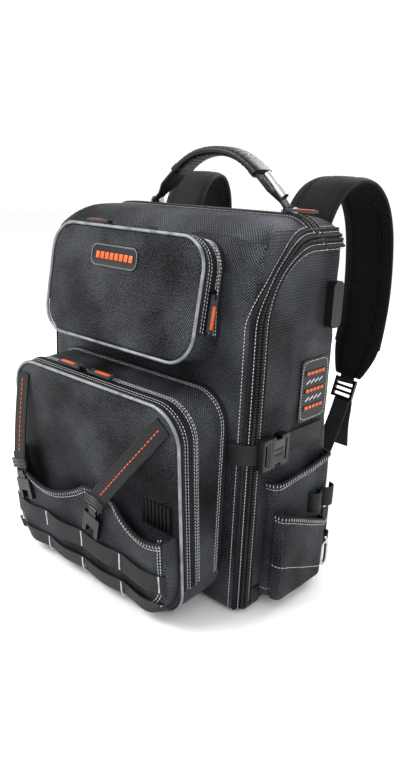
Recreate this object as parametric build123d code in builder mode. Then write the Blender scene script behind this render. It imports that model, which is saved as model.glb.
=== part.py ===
"""Tool and travel backpack: a clamshell bag with two zipped front pockets, a front pouch
under webbing rows, side pockets, a carry handle and two padded shoulder straps.

Millimetres. +Z is up, -Y is the front that faces away from the wearer, and +X is the side
that has the charging port. The origin is the middle of the base's underside.
"""

from build123d import *

import math
import os

os.makedirs("parts", exist_ok=True)

# ---------------------------------------------------------------- driving dimensions
body_width = 370.0
body_depth = 176.0
body_height = 476.0
wall = 4.0  # padded cloth
base_thick = 4.0
back_thick = 8.0
front_top_round = 75.0
rear_top_round = 24.0
side_top_round = 45.0
foot_round = 10.0
plan_round = 22.0

move_gap = 0.3  # between pieces that move past each other
pin_gap = 0.1  # around a hinge pin

# main zip: up the side, round a bend and over the top
zip_set_back = 14.0
zip_bend = 95.0
zip_top_z = 452.0
zip_cross_y = 30.0
tape_width = 8.0
tape_thick = 2.0
teeth_width = 3.2
teeth_high = 1.5

# front pockets: a face outline standing on its own plane, with its zip behind the face
panel = 3.0
return_deep = 14.0
zip_half = 3.85
pocket_teeth_high = 1.6
corner_free = 2.0  # the zip ends this far above the outline's lower corners
pipe_thick = 2.6
upper_width = 268.0
upper_height = 142.0
upper_round = 36.0
upper_foot_y = -137.0
upper_foot_z = 314.0
upper_lean = 9.0
lower_width = 308.0
lower_height = 268.0
lower_round = 42.0
lower_foot_y = -151.0
lower_foot_z = 6.0
lower_lean = -4.6

# front pouch, its webbing rows and the two front straps
pouch_inset = 4.0
pouch_deep = 22.0
pouch_foot = 12.0
mouth_high = 138.0
mouth_dip = 110.0
cloth = 2.5
row_thick = 2.0
row_high = 25.0
row_slack = 2.0
row_feet = (10.0, 49.0)
row_pitch = 74.0
strap_wide = 25.0
strap_thick = 2.0
strap_top = (132.0, 246.0)
strap_ends = {"right": (36.0, 130.0), "left": (124.0, 128.0)}

# sliders and their pulls
slider_gap = 0.8
slider_long = 14.0
slider_wide = 11.0
slider_thick = 2.2
bail_long = 4.4
bail_wide = 3.0
bail_high = 3.6
pull_pin_r = 0.9
pull_pin_z = slider_gap + slider_thick + 2.4
pull_long = 42.0
tab_wide = 9.0
tab_thick = 3.2

# side-release buckles
buckle_wide = 38.0
buckle_thick = 11.0
buckle_wall = 2.2
catch_long = 34.0
prong_base = 15.0
prong_long = 20.0
prong_thick = 4.0

# carry handle
handle_y = 54.0
foot_x = 118.0
grip_x = 64.0
handle_pin_z = body_height + 6.0
leg_rise = 50.0
handle_rise = 68.0
handle_web = 32.0
foot_web = 14.0
web_thick = 4.0
handle_pin_r = 2.2
eye_r = 4.8
grip_wide = 36.0
grip_thick = 13.0
rod_r = 4.8
sleeve_r = 5.8

# shoulder straps
shoulder_wide = 70.0
shoulder_thick = 13.0
lock_wide = 34.0
lock_thick = 5.0

# side pockets, right and left
pocket_foot_z = 12.0
phone_out = 16.0
small_out = 14.0
bottle_out = 22.0
side_rear_y = 74.0
side_front_y = -46.0
small_rear_y = 54.0

half_width = body_width / 2
front_y = -body_depth / 2
back_y = body_depth / 2
board_y = back_y - back_thick
zip_y = front_y + zip_set_back
bend_y = zip_y + zip_bend
bend_z = zip_top_z - zip_bend
sill_z = base_thick + move_gap
beyond = 60.0  # past the outside of the bag, for cutting blocks


def save(piece, name):
    """Label a finished piece and write its STEP file."""
    piece.label = name
    export_step(piece, f"parts/{name}.step")


def block(low, high):
    """A plain box from its lowest to its highest corner."""
    with BuildPart() as solid:
        with Locations(tuple((l + h) / 2 for l, h in zip(low, high))):
            Box(*[h - l for l, h in zip(low, high)])
    return solid.part


# ---------------------------------------------------------------- the bag's outer form


def body_form(inset):
    """The bag's rounded block, drawn in by inset on every side."""
    wide = body_width - 2 * inset
    deep = body_depth - 2 * inset
    high = body_height - 2 * inset
    with BuildPart() as form:
        with BuildSketch(Plane.XZ):
            with Locations((0, body_height / 2)):
                Rectangle(wide, high)
            fillet(vertices().group_by(Axis.Y)[-1], side_top_round - inset)
            fillet(vertices().group_by(Axis.Y)[0], foot_round - inset)
        extrude(amount=deep / 2, both=True)
        with BuildSketch(Plane.YZ):
            with Locations((0, body_height / 2)):
                Rectangle(deep, high)
            fillet(vertices().group_by(Axis.Y)[-1].sort_by(Axis.X)[0], front_top_round - inset)
            fillet(vertices().group_by(Axis.Y)[-1].sort_by(Axis.X)[-1], rear_top_round - inset)
            fillet(vertices().group_by(Axis.Y)[0], foot_round - inset)
        extrude(amount=wide / 2, both=True, mode=Mode.INTERSECT)
        with BuildSketch(Plane.XY.offset(inset)):
            RectangleRounded(wide, deep, plan_round - inset)
        extrude(amount=high, mode=Mode.INTERSECT)
    return form.part


def ahead_of_zip(back_off, floor_z):
    """The space in front of the main zip, held back_off clear of the zip's middle line."""
    line_y = zip_y - back_off
    bend = zip_bend + back_off
    rise = math.sqrt(0.5) * bend
    cross_y = zip_cross_y - back_off
    with BuildPart() as zone:
        with BuildSketch(Plane.YZ):
            with BuildLine():
                Line((line_y, floor_z), (line_y, bend_z))
                ThreePointArc(
                    (line_y, bend_z), (bend_y - rise, bend_z + rise), (bend_y, bend_z + bend)
                )
                Polyline(
                    (bend_y, bend_z + bend),
                    (cross_y, bend_z + bend),
                    (cross_y, body_height + beyond),
                    (front_y - beyond, body_height + beyond),
                    (front_y - beyond, floor_z),
                    (line_y, floor_z),
                )
            make_face()
        extrude(amount=body_width, both=True)
    return zone.part


outer = body_form(0)
inner = body_form(wall)
ridge = body_form(-teeth_high)
tape_bed = body_form(tape_thick)
webbing_form = body_form(-strap_thick)
side_limit = half_width + beyond
top_limit = body_height + beyond

# ---------------------------------------------------------------- rear tray
with BuildPart() as tray_ring:
    add(outer)
    add(inner, mode=Mode.SUBTRACT)
    add(ahead_of_zip(-tape_width, base_thick), mode=Mode.SUBTRACT)
    add(block((-side_limit, board_y, -1), (side_limit, back_y + 1, top_limit)), mode=Mode.SUBTRACT)

with BuildPart() as base_panel:
    add(outer)
    add(
        block((-side_limit, front_y - 1, -1), (side_limit, board_y, base_thick)),
        mode=Mode.INTERSECT,
    )
save(base_panel.part, "base_panel")

for side_name, near_x, far_x in (("right", 0, side_limit), ("left", -side_limit, 0)):
    with BuildPart() as side_wall:
        add(tray_ring.part)
        add(block((near_x, front_y, base_thick), (far_x, back_y, zip_top_z)), mode=Mode.INTERSECT)
    save(side_wall.part, f"side_wall_{side_name}")

with BuildPart() as top_panel:
    add(tray_ring.part)
    add(
        block((-side_limit, front_y, zip_top_z), (side_limit, back_y, top_limit)),
        mode=Mode.INTERSECT,
    )
save(top_panel.part, "top_panel")

with BuildPart() as back_panel:
    add(outer)
    add(block((-side_limit, board_y, -1), (side_limit, back_y + 1, top_limit)), mode=Mode.INTERSECT)
save(back_panel.part, "back_panel")

# The back padding is one moulded foam: two upper lobes and a lumbar lobe on a thin sheet.
pad_thick = 9.0
pad_sheet = 3.0
pad_foot_z = 40.0
pad_high = 330.0
pad_wide = 256.0
air_gap = 24.0
with BuildPart() as back_pad:
    with BuildSketch(Plane.XZ.offset(-back_y)):
        with Locations((0, pad_foot_z + pad_high / 2)):
            RectangleRounded(pad_wide, pad_high, 30)
    extrude(amount=-pad_sheet)
    lobe_wide = (pad_wide - air_gap) / 2
    lobe_high = pad_high * 0.62
    lumbar_high = pad_high - lobe_high - air_gap
    with BuildSketch(Plane.XZ.offset(-back_y - pad_sheet)):
        for lobe_sign in (-1, 1):
            lobe_x = lobe_sign * (lobe_wide + air_gap) / 2
            with Locations((lobe_x, pad_foot_z + pad_high - lobe_high / 2)):
                RectangleRounded(lobe_wide, lobe_high, 28)
        with Locations((0, pad_foot_z + lumbar_high / 2)):
            RectangleRounded(pad_wide, lumbar_high, 28)
    extrude(amount=-(pad_thick - pad_sheet))
save(back_pad.part, "back_pad")

# ---------------------------------------------------------------- inside the tray
divider_thick = 4.0
divider_front_y = 58.0
divider_high = 320.0
inside_width = body_width - 2 * wall - 2 * move_gap
with BuildPart() as laptop_divider:
    with BuildSketch(Plane.XZ.offset(-divider_front_y)):
        with Locations((0, base_thick + divider_high / 2)):
            Rectangle(inside_width, divider_high)
    extrude(amount=-divider_thick)
    fillet(laptop_divider.edges().filter_by(Axis.Y).group_by(Axis.Z)[-1], 20)
    fillet(laptop_divider.edges().filter_by(Axis.Y).group_by(Axis.Z)[0], foot_round)
save(laptop_divider.part, "laptop_divider")

# The tool panel is a sheet with two rows of upright holders standing on its front.
tool_sheet = 3.0
tool_high = 260.0
holder_deep = 14.0
holder_high = 70.0
holder_count = 6
holder_pitch = inside_width / holder_count
tool_back_y = divider_front_y
with BuildPart() as tool_panel:
    with BuildSketch(Plane.XZ.offset(-tool_back_y)):
        with Locations((0, base_thick + tool_high / 2)):
            Rectangle(inside_width, tool_high)
    extrude(amount=tool_sheet)
    fillet(tool_panel.edges().filter_by(Axis.Y).group_by(Axis.Z)[0], foot_round)
    for row_z in (60.0, 170.0):
        with BuildSketch(Plane.XY.offset(row_z)):
            for cell in range(holder_count):
                cell_x = (cell - (holder_count - 1) / 2) * holder_pitch
                with Locations((cell_x, tool_back_y - tool_sheet - holder_deep / 2)):
                    Rectangle(holder_pitch - 8, holder_deep)
        extrude(amount=holder_high)
        with BuildSketch(Plane.XY.offset(row_z)):
            for cell in range(holder_count):
                cell_x = (cell - (holder_count - 1) / 2) * holder_pitch
                with Locations((cell_x, tool_back_y - tool_sheet - (holder_deep - cloth) / 2)):
                    Rectangle(holder_pitch - 8 - 2 * cloth, holder_deep - cloth)
        extrude(amount=holder_high, mode=Mode.SUBTRACT)
save(tool_panel.part, "tool_panel")

# ---------------------------------------------------------------- main zip, two halves
with BuildPart() as main_zip_rear:
    add(outer)
    add(tape_bed, mode=Mode.SUBTRACT)
    add(ahead_of_zip(-tape_width, base_thick), mode=Mode.INTERSECT)
    add(ahead_of_zip(-move_gap / 2, base_thick - 1), mode=Mode.SUBTRACT)
with BuildPart() as rear_teeth:
    add(ridge)
    add(outer, mode=Mode.SUBTRACT)
    add(ahead_of_zip(-teeth_width, base_thick), mode=Mode.INTERSECT)
    add(ahead_of_zip(-move_gap / 2, base_thick - 1), mode=Mode.SUBTRACT)
# Its two free ends run on along the top edges to the back panel.
with BuildPart() as rear_runs:
    add(ridge)
    add(outer, mode=Mode.SUBTRACT)
    add(
        block(
            (-side_limit, zip_cross_y + teeth_width, zip_top_z - teeth_width),
            (side_limit, board_y, zip_top_z + teeth_width),
        ),
        mode=Mode.INTERSECT,
    )
with BuildPart() as main_zip_rear_whole:
    add(main_zip_rear.part)
    add(rear_teeth.part)
    add(rear_runs.part)
save(main_zip_rear_whole.part, "main_zip_rear")

with BuildPart() as front_tape:
    add(outer)
    add(tape_bed, mode=Mode.SUBTRACT)
    add(ahead_of_zip(move_gap / 2, sill_z), mode=Mode.INTERSECT)
    add(ahead_of_zip(tape_width, sill_z - 1), mode=Mode.SUBTRACT)
with BuildPart() as main_zip_front:
    add(ridge)
    add(outer, mode=Mode.SUBTRACT)
    add(ahead_of_zip(move_gap / 2, sill_z), mode=Mode.INTERSECT)
    add(ahead_of_zip(teeth_width, sill_z - 1), mode=Mode.SUBTRACT)
    add(front_tape.part)
save(main_zip_front.part, "main_zip_front")

# A rubber guard on each side wraps the base edge just behind the zip's lower end.
guard_thick = 2.0
guard_high = 28.0
guard_long = 24.0
guard_front_y = zip_y + teeth_width + 0.4
with BuildPart() as guard_zone:
    with Locations((-half_width, 0, 0), (half_width, 0, 0)):
        with Locations((0, guard_front_y + guard_long / 2, guard_high / 2)):
            Box(beyond, guard_long, guard_high)
with BuildPart() as corner_guards:
    add(body_form(-guard_thick))
    add(outer, mode=Mode.SUBTRACT)
    add(guard_zone.part, mode=Mode.INTERSECT)
save(corner_guards.part, "corner_guards")

# ---------------------------------------------------------------- lid
with BuildPart() as lid_shell:
    add(outer)
    add(inner, mode=Mode.SUBTRACT)
    add(ahead_of_zip(tape_width, sill_z), mode=Mode.INTERSECT)
save(lid_shell.part, "lid_shell")

lining_thick = 2.0
lining_margin = 30.0
lining_foot_z = 24.0
lining_high = 360.0
loop_row_zs = (110.0, 230.0, 330.0)
loop_row_high = 30.0
loop_row_deep = 6.0
with BuildPart() as lid_lining:
    with BuildSketch(Plane.XZ.offset(-(front_y + wall))):
        with Locations((0, lining_foot_z + lining_high / 2)):
            RectangleRounded(body_width - 2 * lining_margin, lining_high, 12)
    extrude(amount=-lining_thick)
    with BuildSketch(Plane.XZ.offset(-(front_y + wall + lining_thick))):
        for row_z in loop_row_zs:
            with Locations((0, row_z)):
                Rectangle(body_width - 2 * lining_margin - 20, loop_row_high)
    extrude(amount=-loop_row_deep)
save(lid_lining.part, "lid_lining")


# ---------------------------------------------------------------- front pockets
def pocket_plane(foot_y, foot_z, lean):
    """The plane of a pocket's face: x across, y up the face, z out of the bag."""
    tilt = math.radians(lean)
    return Plane(
        origin=(0, foot_y, foot_z), x_dir=(1, 0, 0), z_dir=(0, -math.cos(tilt), math.sin(tilt))
    )


def outline_ring(place, size, grow, shrink, start, end):
    """A ring that follows a pocket's outline, from start to end behind its face."""
    wide, high, corner = size
    with BuildPart() as ring:
        with BuildSketch(place.offset(-start)):
            with Locations((0, high / 2)):
                RectangleRounded(wide + 2 * grow, high + 2 * grow, corner + grow)
                RectangleRounded(
                    wide - 2 * shrink, high - 2 * shrink, corner - shrink, mode=Mode.SUBTRACT
                )
        extrude(amount=start - end)
    return ring.part


def band_of_pocket(place, size, low, high):
    """All the space between two heights up a pocket's face."""
    with BuildPart() as band:
        with BuildSketch(place):
            with Locations((0, (low + high) / 2)):
                Rectangle(size[0] + beyond, high - low)
        extrude(amount=2 * beyond, both=True)
    return band.part


zip_start = return_deep
zip_middle = zip_start + zip_half + move_gap / 2
zip_end = zip_start + 2 * zip_half + move_gap
upper_plane = pocket_plane(upper_foot_y, upper_foot_z, upper_lean)
lower_plane = pocket_plane(lower_foot_y, lower_foot_z, lower_lean)
upper_size = (upper_width, upper_height, upper_round)
lower_size = (lower_width, lower_height, lower_round)

for pocket_name, place, size in (
    ("upper", upper_plane, upper_size),
    ("lower", lower_plane, lower_size),
):
    wide, high, corner = size
    zip_foot = corner + corner_free
    above = band_of_pocket(place, size, zip_foot, high + beyond)
    below = band_of_pocket(place, size, -beyond, zip_foot - move_gap)

    # door: the face with its side and top return, hinged along the face's bottom edge
    with BuildPart() as door_return:
        add(outline_ring(place, size, 0, panel, panel, return_deep))
        add(above, mode=Mode.INTERSECT)
    with BuildPart() as door:
        with BuildSketch(place):
            with Locations((0, high / 2)):
                RectangleRounded(wide, high, corner)
        extrude(amount=-panel)
        add(door_return.part)
    save(door.part, f"{pocket_name}_door")

    with BuildPart() as piping:
        add(outline_ring(place, size, pipe_thick, 0, -1.2, panel - 0.6))
    save(piping.part, f"{pocket_name}_piping")

    # zip: one half on the door, one half on the gusset
    halves = (
        ("front", zip_start, zip_start + zip_half),
        ("rear", zip_end - zip_half, zip_end),
    )
    for half_name, half_start, half_end in halves:
        with BuildPart() as zip_part:
            add(outline_ring(place, size, pocket_teeth_high, tape_thick, half_start, half_end))
            add(above, mode=Mode.INTERSECT)
        save(zip_part.part, f"{pocket_name}_zip_{half_name}")

    # gusset: the wall from the zip back to the lid, deeper below the zip's ends
    with BuildPart() as gusset_foot:
        add(outline_ring(place, size, 0, panel, panel + move_gap, zip_end))
        add(below, mode=Mode.INTERSECT)
    with BuildPart() as gusset:
        add(outline_ring(place, size, 0, panel, zip_end, zip_end + 80))
        add(gusset_foot.part)
        add(outer, mode=Mode.SUBTRACT)
    save(gusset.part, f"{pocket_name}_gusset")

# badge on the upper pocket: a rubber plate with a raised rim
badge_x = -7.0
badge_up = 107.0
badge_wide = 84.0
badge_high = 27.0
badge_thick = 1.6
badge_rim = 2.0
badge_rim_high = 0.8
with BuildPart() as badge:
    with BuildSketch(upper_plane):
        with Locations((badge_x, badge_up)):
            RectangleRounded(badge_wide, badge_high, badge_high * 0.4)
    extrude(amount=badge_thick)
    with BuildSketch(upper_plane.offset(badge_thick)):
        with Locations((badge_x, badge_up)):
            RectangleRounded(badge_wide, badge_high, badge_high * 0.4)
            RectangleRounded(
                badge_wide - 2 * badge_rim,
                badge_high - 2 * badge_rim,
                badge_high * 0.4 - badge_rim,
                mode=Mode.SUBTRACT,
            )
    extrude(amount=badge_rim_high)
save(badge.part, "badge")

# ---------------------------------------------------------------- front pouch
pouch_half = lower_width / 2 - pouch_inset


def pouch_outline(shrink):
    """The pouch's front view, closed at the top above its mouth."""
    top = mouth_high + 20
    low = pouch_foot + shrink
    with BuildSketch(Plane.XY) as outline:
        with Locations((0, (low + top) / 2)):
            base = Rectangle(2 * (pouch_half - shrink), top - low)
        fillet(base.vertices().group_by(Axis.Y)[0], lower_round - pouch_inset - shrink)
    return outline.sketch


tab_near_x = 8.0
tab_far_x = 60.0
with BuildPart() as pouch:
    with BuildSketch(lower_plane):
        add(pouch_outline(0))
    extrude(amount=pouch_deep)
    with BuildSketch(lower_plane):
        add(pouch_outline(cloth))
    extrude(amount=pouch_deep - cloth, mode=Mode.SUBTRACT)
    # two scalloped mouths with a tab between them
    with BuildSketch(lower_plane):
        with BuildLine():
            ThreePointArc(
                (-pouch_half - 1, mouth_high),
                ((tab_near_x - pouch_half) / 2, mouth_dip),
                (tab_near_x, mouth_high),
            )
            Line((tab_near_x, mouth_high), (tab_far_x, mouth_high))
            ThreePointArc(
                (tab_far_x, mouth_high),
                ((tab_far_x + pouch_half) / 2 + 8, mouth_dip),
                (pouch_half + 1, mouth_dip + 8),
            )
            Polyline(
                (pouch_half + 1, mouth_dip + 8),
                (pouch_half + 1, mouth_high + 40),
                (-pouch_half - 1, mouth_high + 40),
                (-pouch_half - 1, mouth_high),
            )
        make_face()
    extrude(amount=pouch_deep, mode=Mode.SUBTRACT)
save(pouch.part, "pouch")

# Two webbing rows stand off the pouch and are tacked to it at even steps.
row_half = pouch_half - 6
with BuildPart() as molle_rows:
    for row_foot in row_feet:
        with BuildSketch(lower_plane.offset(pouch_deep + row_slack)):
            with Locations((0, row_foot + row_high / 2)):
                Rectangle(2 * row_half, row_high)
        extrude(amount=row_thick)
        with BuildSketch(lower_plane.offset(pouch_deep)):
            for tack_x in (-2, -1, 0, 1, 2):
                reach = min(abs(tack_x) * row_pitch, row_half - 1.5)
                with Locations((math.copysign(reach, tack_x), row_foot + row_high / 2)):
                    Rectangle(3, row_high)
        extrude(amount=row_slack)
    # the lower row's ends follow the pouch's rounded foot
    with BuildSketch(lower_plane.offset(pouch_deep)):
        Rectangle(4 * pouch_half, 4 * lower_height)
        add(pouch_outline(3), mode=Mode.SUBTRACT)
    extrude(amount=2 * row_slack + row_thick, mode=Mode.SUBTRACT)
save(molle_rows.part, "molle_rows")

# ---------------------------------------------------------------- front straps
# The right strap slants from the face's upper corner to a ribbed keeper over the pouch's tab.
# The left one runs straight down its own side, and a buckle half hangs from each keeper's bar.
strap_rise = pouch_deep + strap_thick + 3.0
bar_r = 1.6
keeper_long = 14.0
keeper_wide = strap_wide + 7
bar_out = keeper_long / 2 + 5.5
hook_start = 9.0
hook_long = 29.0
hook_wide = strap_wide + 4
hook_thick = 6.0
cheek_wide = 3.0
cheek_in = strap_wide / 2 - 5
for side_name, side_sign in (("right", 1), ("left", -1)):
    rest = strap_thick / 2 + move_gap
    start = lower_plane.from_local_coords((side_sign * strap_top[0], strap_top[1], rest))
    end_x, end_up = strap_ends[side_name]
    finish = lower_plane.from_local_coords((side_sign * end_x, end_up, strap_rise))
    along = (finish - start).normalized()
    across = lower_plane.z_dir.cross(along).normalized()
    strap_plane = Plane(origin=start, x_dir=along, z_dir=along.cross(across))
    strap_long = (finish - start).length
    hang = (lower_plane.y_dir * -0.97 - lower_plane.x_dir * (0.24 * side_sign)).normalized()
    turn = hang.cross(lower_plane.z_dir)
    keeper_plane = Plane(origin=finish, x_dir=hang, z_dir=lower_plane.z_dir)
    pin_plane = Plane(
        origin=keeper_plane.from_local_coords((bar_out, 0, 0)), x_dir=hang, z_dir=turn
    )
    with BuildPart() as front_strap:
        with BuildSketch(strap_plane):
            with Locations((strap_long / 2, 0)):
                Rectangle(strap_long, strap_wide)
        extrude(amount=strap_thick / 2, both=True)
        with BuildSketch(keeper_plane):
            Rectangle(keeper_long, keeper_wide)
        extrude(amount=strap_thick / 2 + 0.9, both=True)
        with BuildSketch(keeper_plane):
            for rib in (-1, 0, 1):
                with Locations((rib * 5, 0)):
                    Rectangle(3.4, keeper_wide)
        extrude(amount=strap_thick / 2 + 1.8, both=True)
        with BuildSketch(keeper_plane):
            for cheek_sign in (-1, 1):
                with Locations((bar_out / 2 + 1, cheek_sign * (cheek_in + cheek_wide / 2))):
                    Rectangle(bar_out + 1, cheek_wide)
        extrude(amount=bar_r, both=True)
        with BuildSketch(pin_plane):
            Circle(bar_r)
        extrude(amount=cheek_in + cheek_wide, both=True)
    save(front_strap.part, f"front_strap_{side_name}")

    with BuildPart() as front_buckle:
        with BuildSketch(keeper_plane):
            with Locations((bar_out + hook_start + hook_long / 2, 0)):
                Rectangle(hook_long, hook_wide)
            with Locations((bar_out + hook_start + hook_long - 6, 0)):
                Rectangle(12, hook_wide - 14, mode=Mode.SUBTRACT)
        extrude(amount=hook_thick / 2, both=True)
        with BuildSketch(pin_plane):
            Circle(bar_r + 2)
            with Locations((hook_start / 2 + 1, 0)):
                Rectangle(hook_start + 2, 2 * bar_r + 1)
        extrude(amount=cheek_in - 1, both=True)
        with BuildSketch(pin_plane):
            Circle(bar_r + pin_gap)
        extrude(amount=strap_wide, both=True, mode=Mode.SUBTRACT)
    save(front_buckle.part, f"front_buckle_{side_name}")
    print(side_name, "front buckle pin", pin_plane.origin, "axis", turn)


# ---------------------------------------------------------------- zip sliders and pulls
def zip_slider(place):
    """Plate, post and cross pin; place's x runs along the zip and its z away from it."""
    pin_plane = Plane(
        origin=place.from_local_coords((0, 0, pull_pin_z)), x_dir=place.x_dir, z_dir=place.y_dir
    )
    with BuildPart() as slider:
        with BuildSketch(place.offset(slider_gap)):
            RectangleRounded(slider_long, slider_wide, 3)
        extrude(amount=slider_thick)
        with BuildSketch(place.offset(slider_gap + slider_thick)):
            Rectangle(bail_long, bail_wide)
        extrude(amount=bail_high)
        with BuildSketch(pin_plane):
            Circle(pull_pin_r)
        extrude(amount=tab_wide / 2, both=True)
    return slider.part


def zip_pull(place):
    """Moulded tab that lies along place's x from a fork on the slider's pin."""
    slot_wide = bail_wide + 2 * move_gap
    pin_plane = Plane(
        origin=place.from_local_coords((0, 0, pull_pin_z)), x_dir=place.x_dir, z_dir=place.y_dir
    )
    with BuildPart() as pull:
        with BuildSketch(place.offset(pull_pin_z)):
            with Locations((pull_long / 2 - 1.6, 0)):
                Rectangle(pull_long, tab_wide)
            with Locations((0, 0)):
                Rectangle(9.0, slot_wide, mode=Mode.SUBTRACT)
        extrude(amount=tab_thick / 2, both=True)
        with BuildSketch(pin_plane):
            Circle(pull_pin_r + pin_gap)
        extrude(amount=tab_wide, both=True, mode=Mode.SUBTRACT)
    return pull.part


def zip_place(pocket, at, along, away):
    """A slider's plane at a point given in a pocket's own coordinates."""
    origin = pocket.from_local_coords(at)
    return Plane(origin=origin, x_dir=along, z_dir=away)


main_slider_x = 133.0
upper_slider_x = -49.0
upper_slider_up = 82.0
lower_slider_left_x = -34.0
lower_slider_right_x = -14.0
upper_top = upper_height + pocket_teeth_high
lower_top = lower_height + pocket_teeth_high
upper_side = upper_width / 2 + pocket_teeth_high
slider_places = {
    "main": Plane(
        origin=(main_slider_x, zip_cross_y, body_height + teeth_high), x_dir=(1, 0, 0)
    ),
    "upper_top": zip_place(
        upper_plane, (upper_slider_x, upper_top, -zip_middle), (-1, 0, 0), upper_plane.y_dir
    ),
    "upper_side": zip_place(
        upper_plane, (upper_side, upper_slider_up, -zip_middle), -upper_plane.y_dir, (1, 0, 0)
    ),
    "lower_left": zip_place(
        lower_plane, (lower_slider_left_x, lower_top, -zip_middle), (-1, 0, 0), lower_plane.y_dir
    ),
    "lower_right": zip_place(
        lower_plane, (lower_slider_right_x, lower_top, -zip_middle), (1, 0, 0), lower_plane.y_dir
    ),
}
for slider_name, place in slider_places.items():
    save(zip_slider(place), f"{slider_name}_slider")
    save(zip_pull(place), f"{slider_name}_pull")
    pin_at = place.from_local_coords((0, 0, pull_pin_z))
    print(slider_name, "pull pin", tuple(round(v, 3) for v in pin_at), "axis", place.y_dir)

# ---------------------------------------------------------------- side compression straps
comp_z = 210.0
comp_wide = 26.0
comp_tab_x = 150.0
catch_front_y = -58.0
catch_near_x = half_width + strap_thick + move_gap
catch_mid_x = catch_near_x + buckle_thick / 2
comp_low, comp_top = comp_z - comp_wide / 2, comp_z + comp_wide / 2
with BuildPart() as comp_band:
    add(webbing_form)
    add(outer, mode=Mode.SUBTRACT)
    add(block((-side_limit, front_y - 9, comp_low), (side_limit, back_y, comp_top)),
        mode=Mode.INTERSECT)
with BuildPart() as compression_straps:
    add(comp_band.part)
    add(block((-side_limit, catch_front_y + 2, 0), (side_limit, side_rear_y - 14, top_limit)),
        mode=Mode.INTERSECT)
save(compression_straps.part, "compression_straps")

tab_end_y = zip_y - teeth_width - 0.4
with BuildPart() as compression_tabs:
    add(comp_band.part)
    add(block((-side_limit, front_y - 9, 0), (side_limit, tab_end_y, top_limit)),
        mode=Mode.INTERSECT)
    add(block((-comp_tab_x - 8, front_y - 9, 0), (comp_tab_x + 8, 0, top_limit)),
        mode=Mode.SUBTRACT)
save(compression_tabs.part, "compression_tabs")

with BuildPart() as compression_catches:
    with Locations((-catch_mid_x, 0, 0), (catch_mid_x, 0, 0)):
        with Locations((0, catch_front_y + catch_long / 2, comp_z)):
            Box(buckle_thick, catch_long, buckle_wide)
        with Locations((0, catch_front_y + (catch_long - 9) / 2, comp_z)):
            Box(
                buckle_thick - 2 * buckle_wall,
                catch_long - 9,
                buckle_wide - 2 * buckle_wall,
                mode=Mode.SUBTRACT,
            )
save(compression_catches.part, "compression_catches")

# Each prong plate tapers to its tip, so that it leaves its catch as the lid swings.
prong_root_y = catch_front_y - move_gap
prong_half = 13.0
tip_half = 9.5
with BuildPart() as compression_prongs:
    for prong_sign in (-1, 1):
        with BuildSketch(Plane.YZ.offset(prong_sign * catch_mid_x)):
            with BuildLine():
                Polyline(
                    (prong_root_y, comp_z - prong_half),
                    (prong_root_y + prong_long, comp_z - tip_half),
                    (prong_root_y + prong_long, comp_z + tip_half),
                    (prong_root_y, comp_z + prong_half),
                    (prong_root_y, comp_z - prong_half),
                )
            make_face()
            with Locations((prong_root_y + prong_long / 2, comp_z)):
                Rectangle(prong_long - 6, 6, mode=Mode.SUBTRACT)
        extrude(amount=prong_thick / 2, both=True)
        with BuildSketch(Plane.YZ.offset(prong_sign * catch_mid_x)):
            with Locations((prong_root_y - prong_base / 2, comp_z)):
                Rectangle(prong_base, buckle_wide)
        extrude(amount=buckle_thick / 2, both=True)
    # the front strap's end passes through a slot across each base
    with Locations((-catch_mid_x, 0, 0), (catch_mid_x, 0, 0)):
        with Locations((0, prong_root_y - prong_base + 5, comp_z)):
            Box(2 * buckle_thick, 4.4, comp_wide + 1, mode=Mode.SUBTRACT)
save(compression_prongs.part, "compression_prongs")

# ---------------------------------------------------------------- carry handle
# Both feet turn on steel pins that share one line across the pack, so the handle folds flat.
anchor_gap = 0.4
cheek_thick = 3.0
cheek_r = 3.6
pin_long = foot_web + 2 * anchor_gap + 2 * cheek_thick
with BuildPart() as handle_anchors:
    for foot_sign in (-1, 1):
        for cheek_sign in (-1, 1):
            cheek_off = cheek_sign * (foot_web / 2 + anchor_gap + cheek_thick / 2)
            with BuildSketch(Plane.YZ.offset(foot_sign * foot_x + cheek_off)):
                with Locations((handle_y, (body_height + handle_pin_z) / 2)):
                    Rectangle(2 * cheek_r, handle_pin_z - body_height)
                with Locations((handle_y, handle_pin_z)):
                    Circle(cheek_r)
            extrude(amount=cheek_thick / 2, both=True)
        with BuildSketch(Plane.YZ.offset(foot_sign * foot_x)):
            with Locations((handle_y, handle_pin_z)):
                Circle(handle_pin_r)
        extrude(amount=pin_long / 2, both=True)
save(handle_anchors.part, "handle_anchors")

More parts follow.
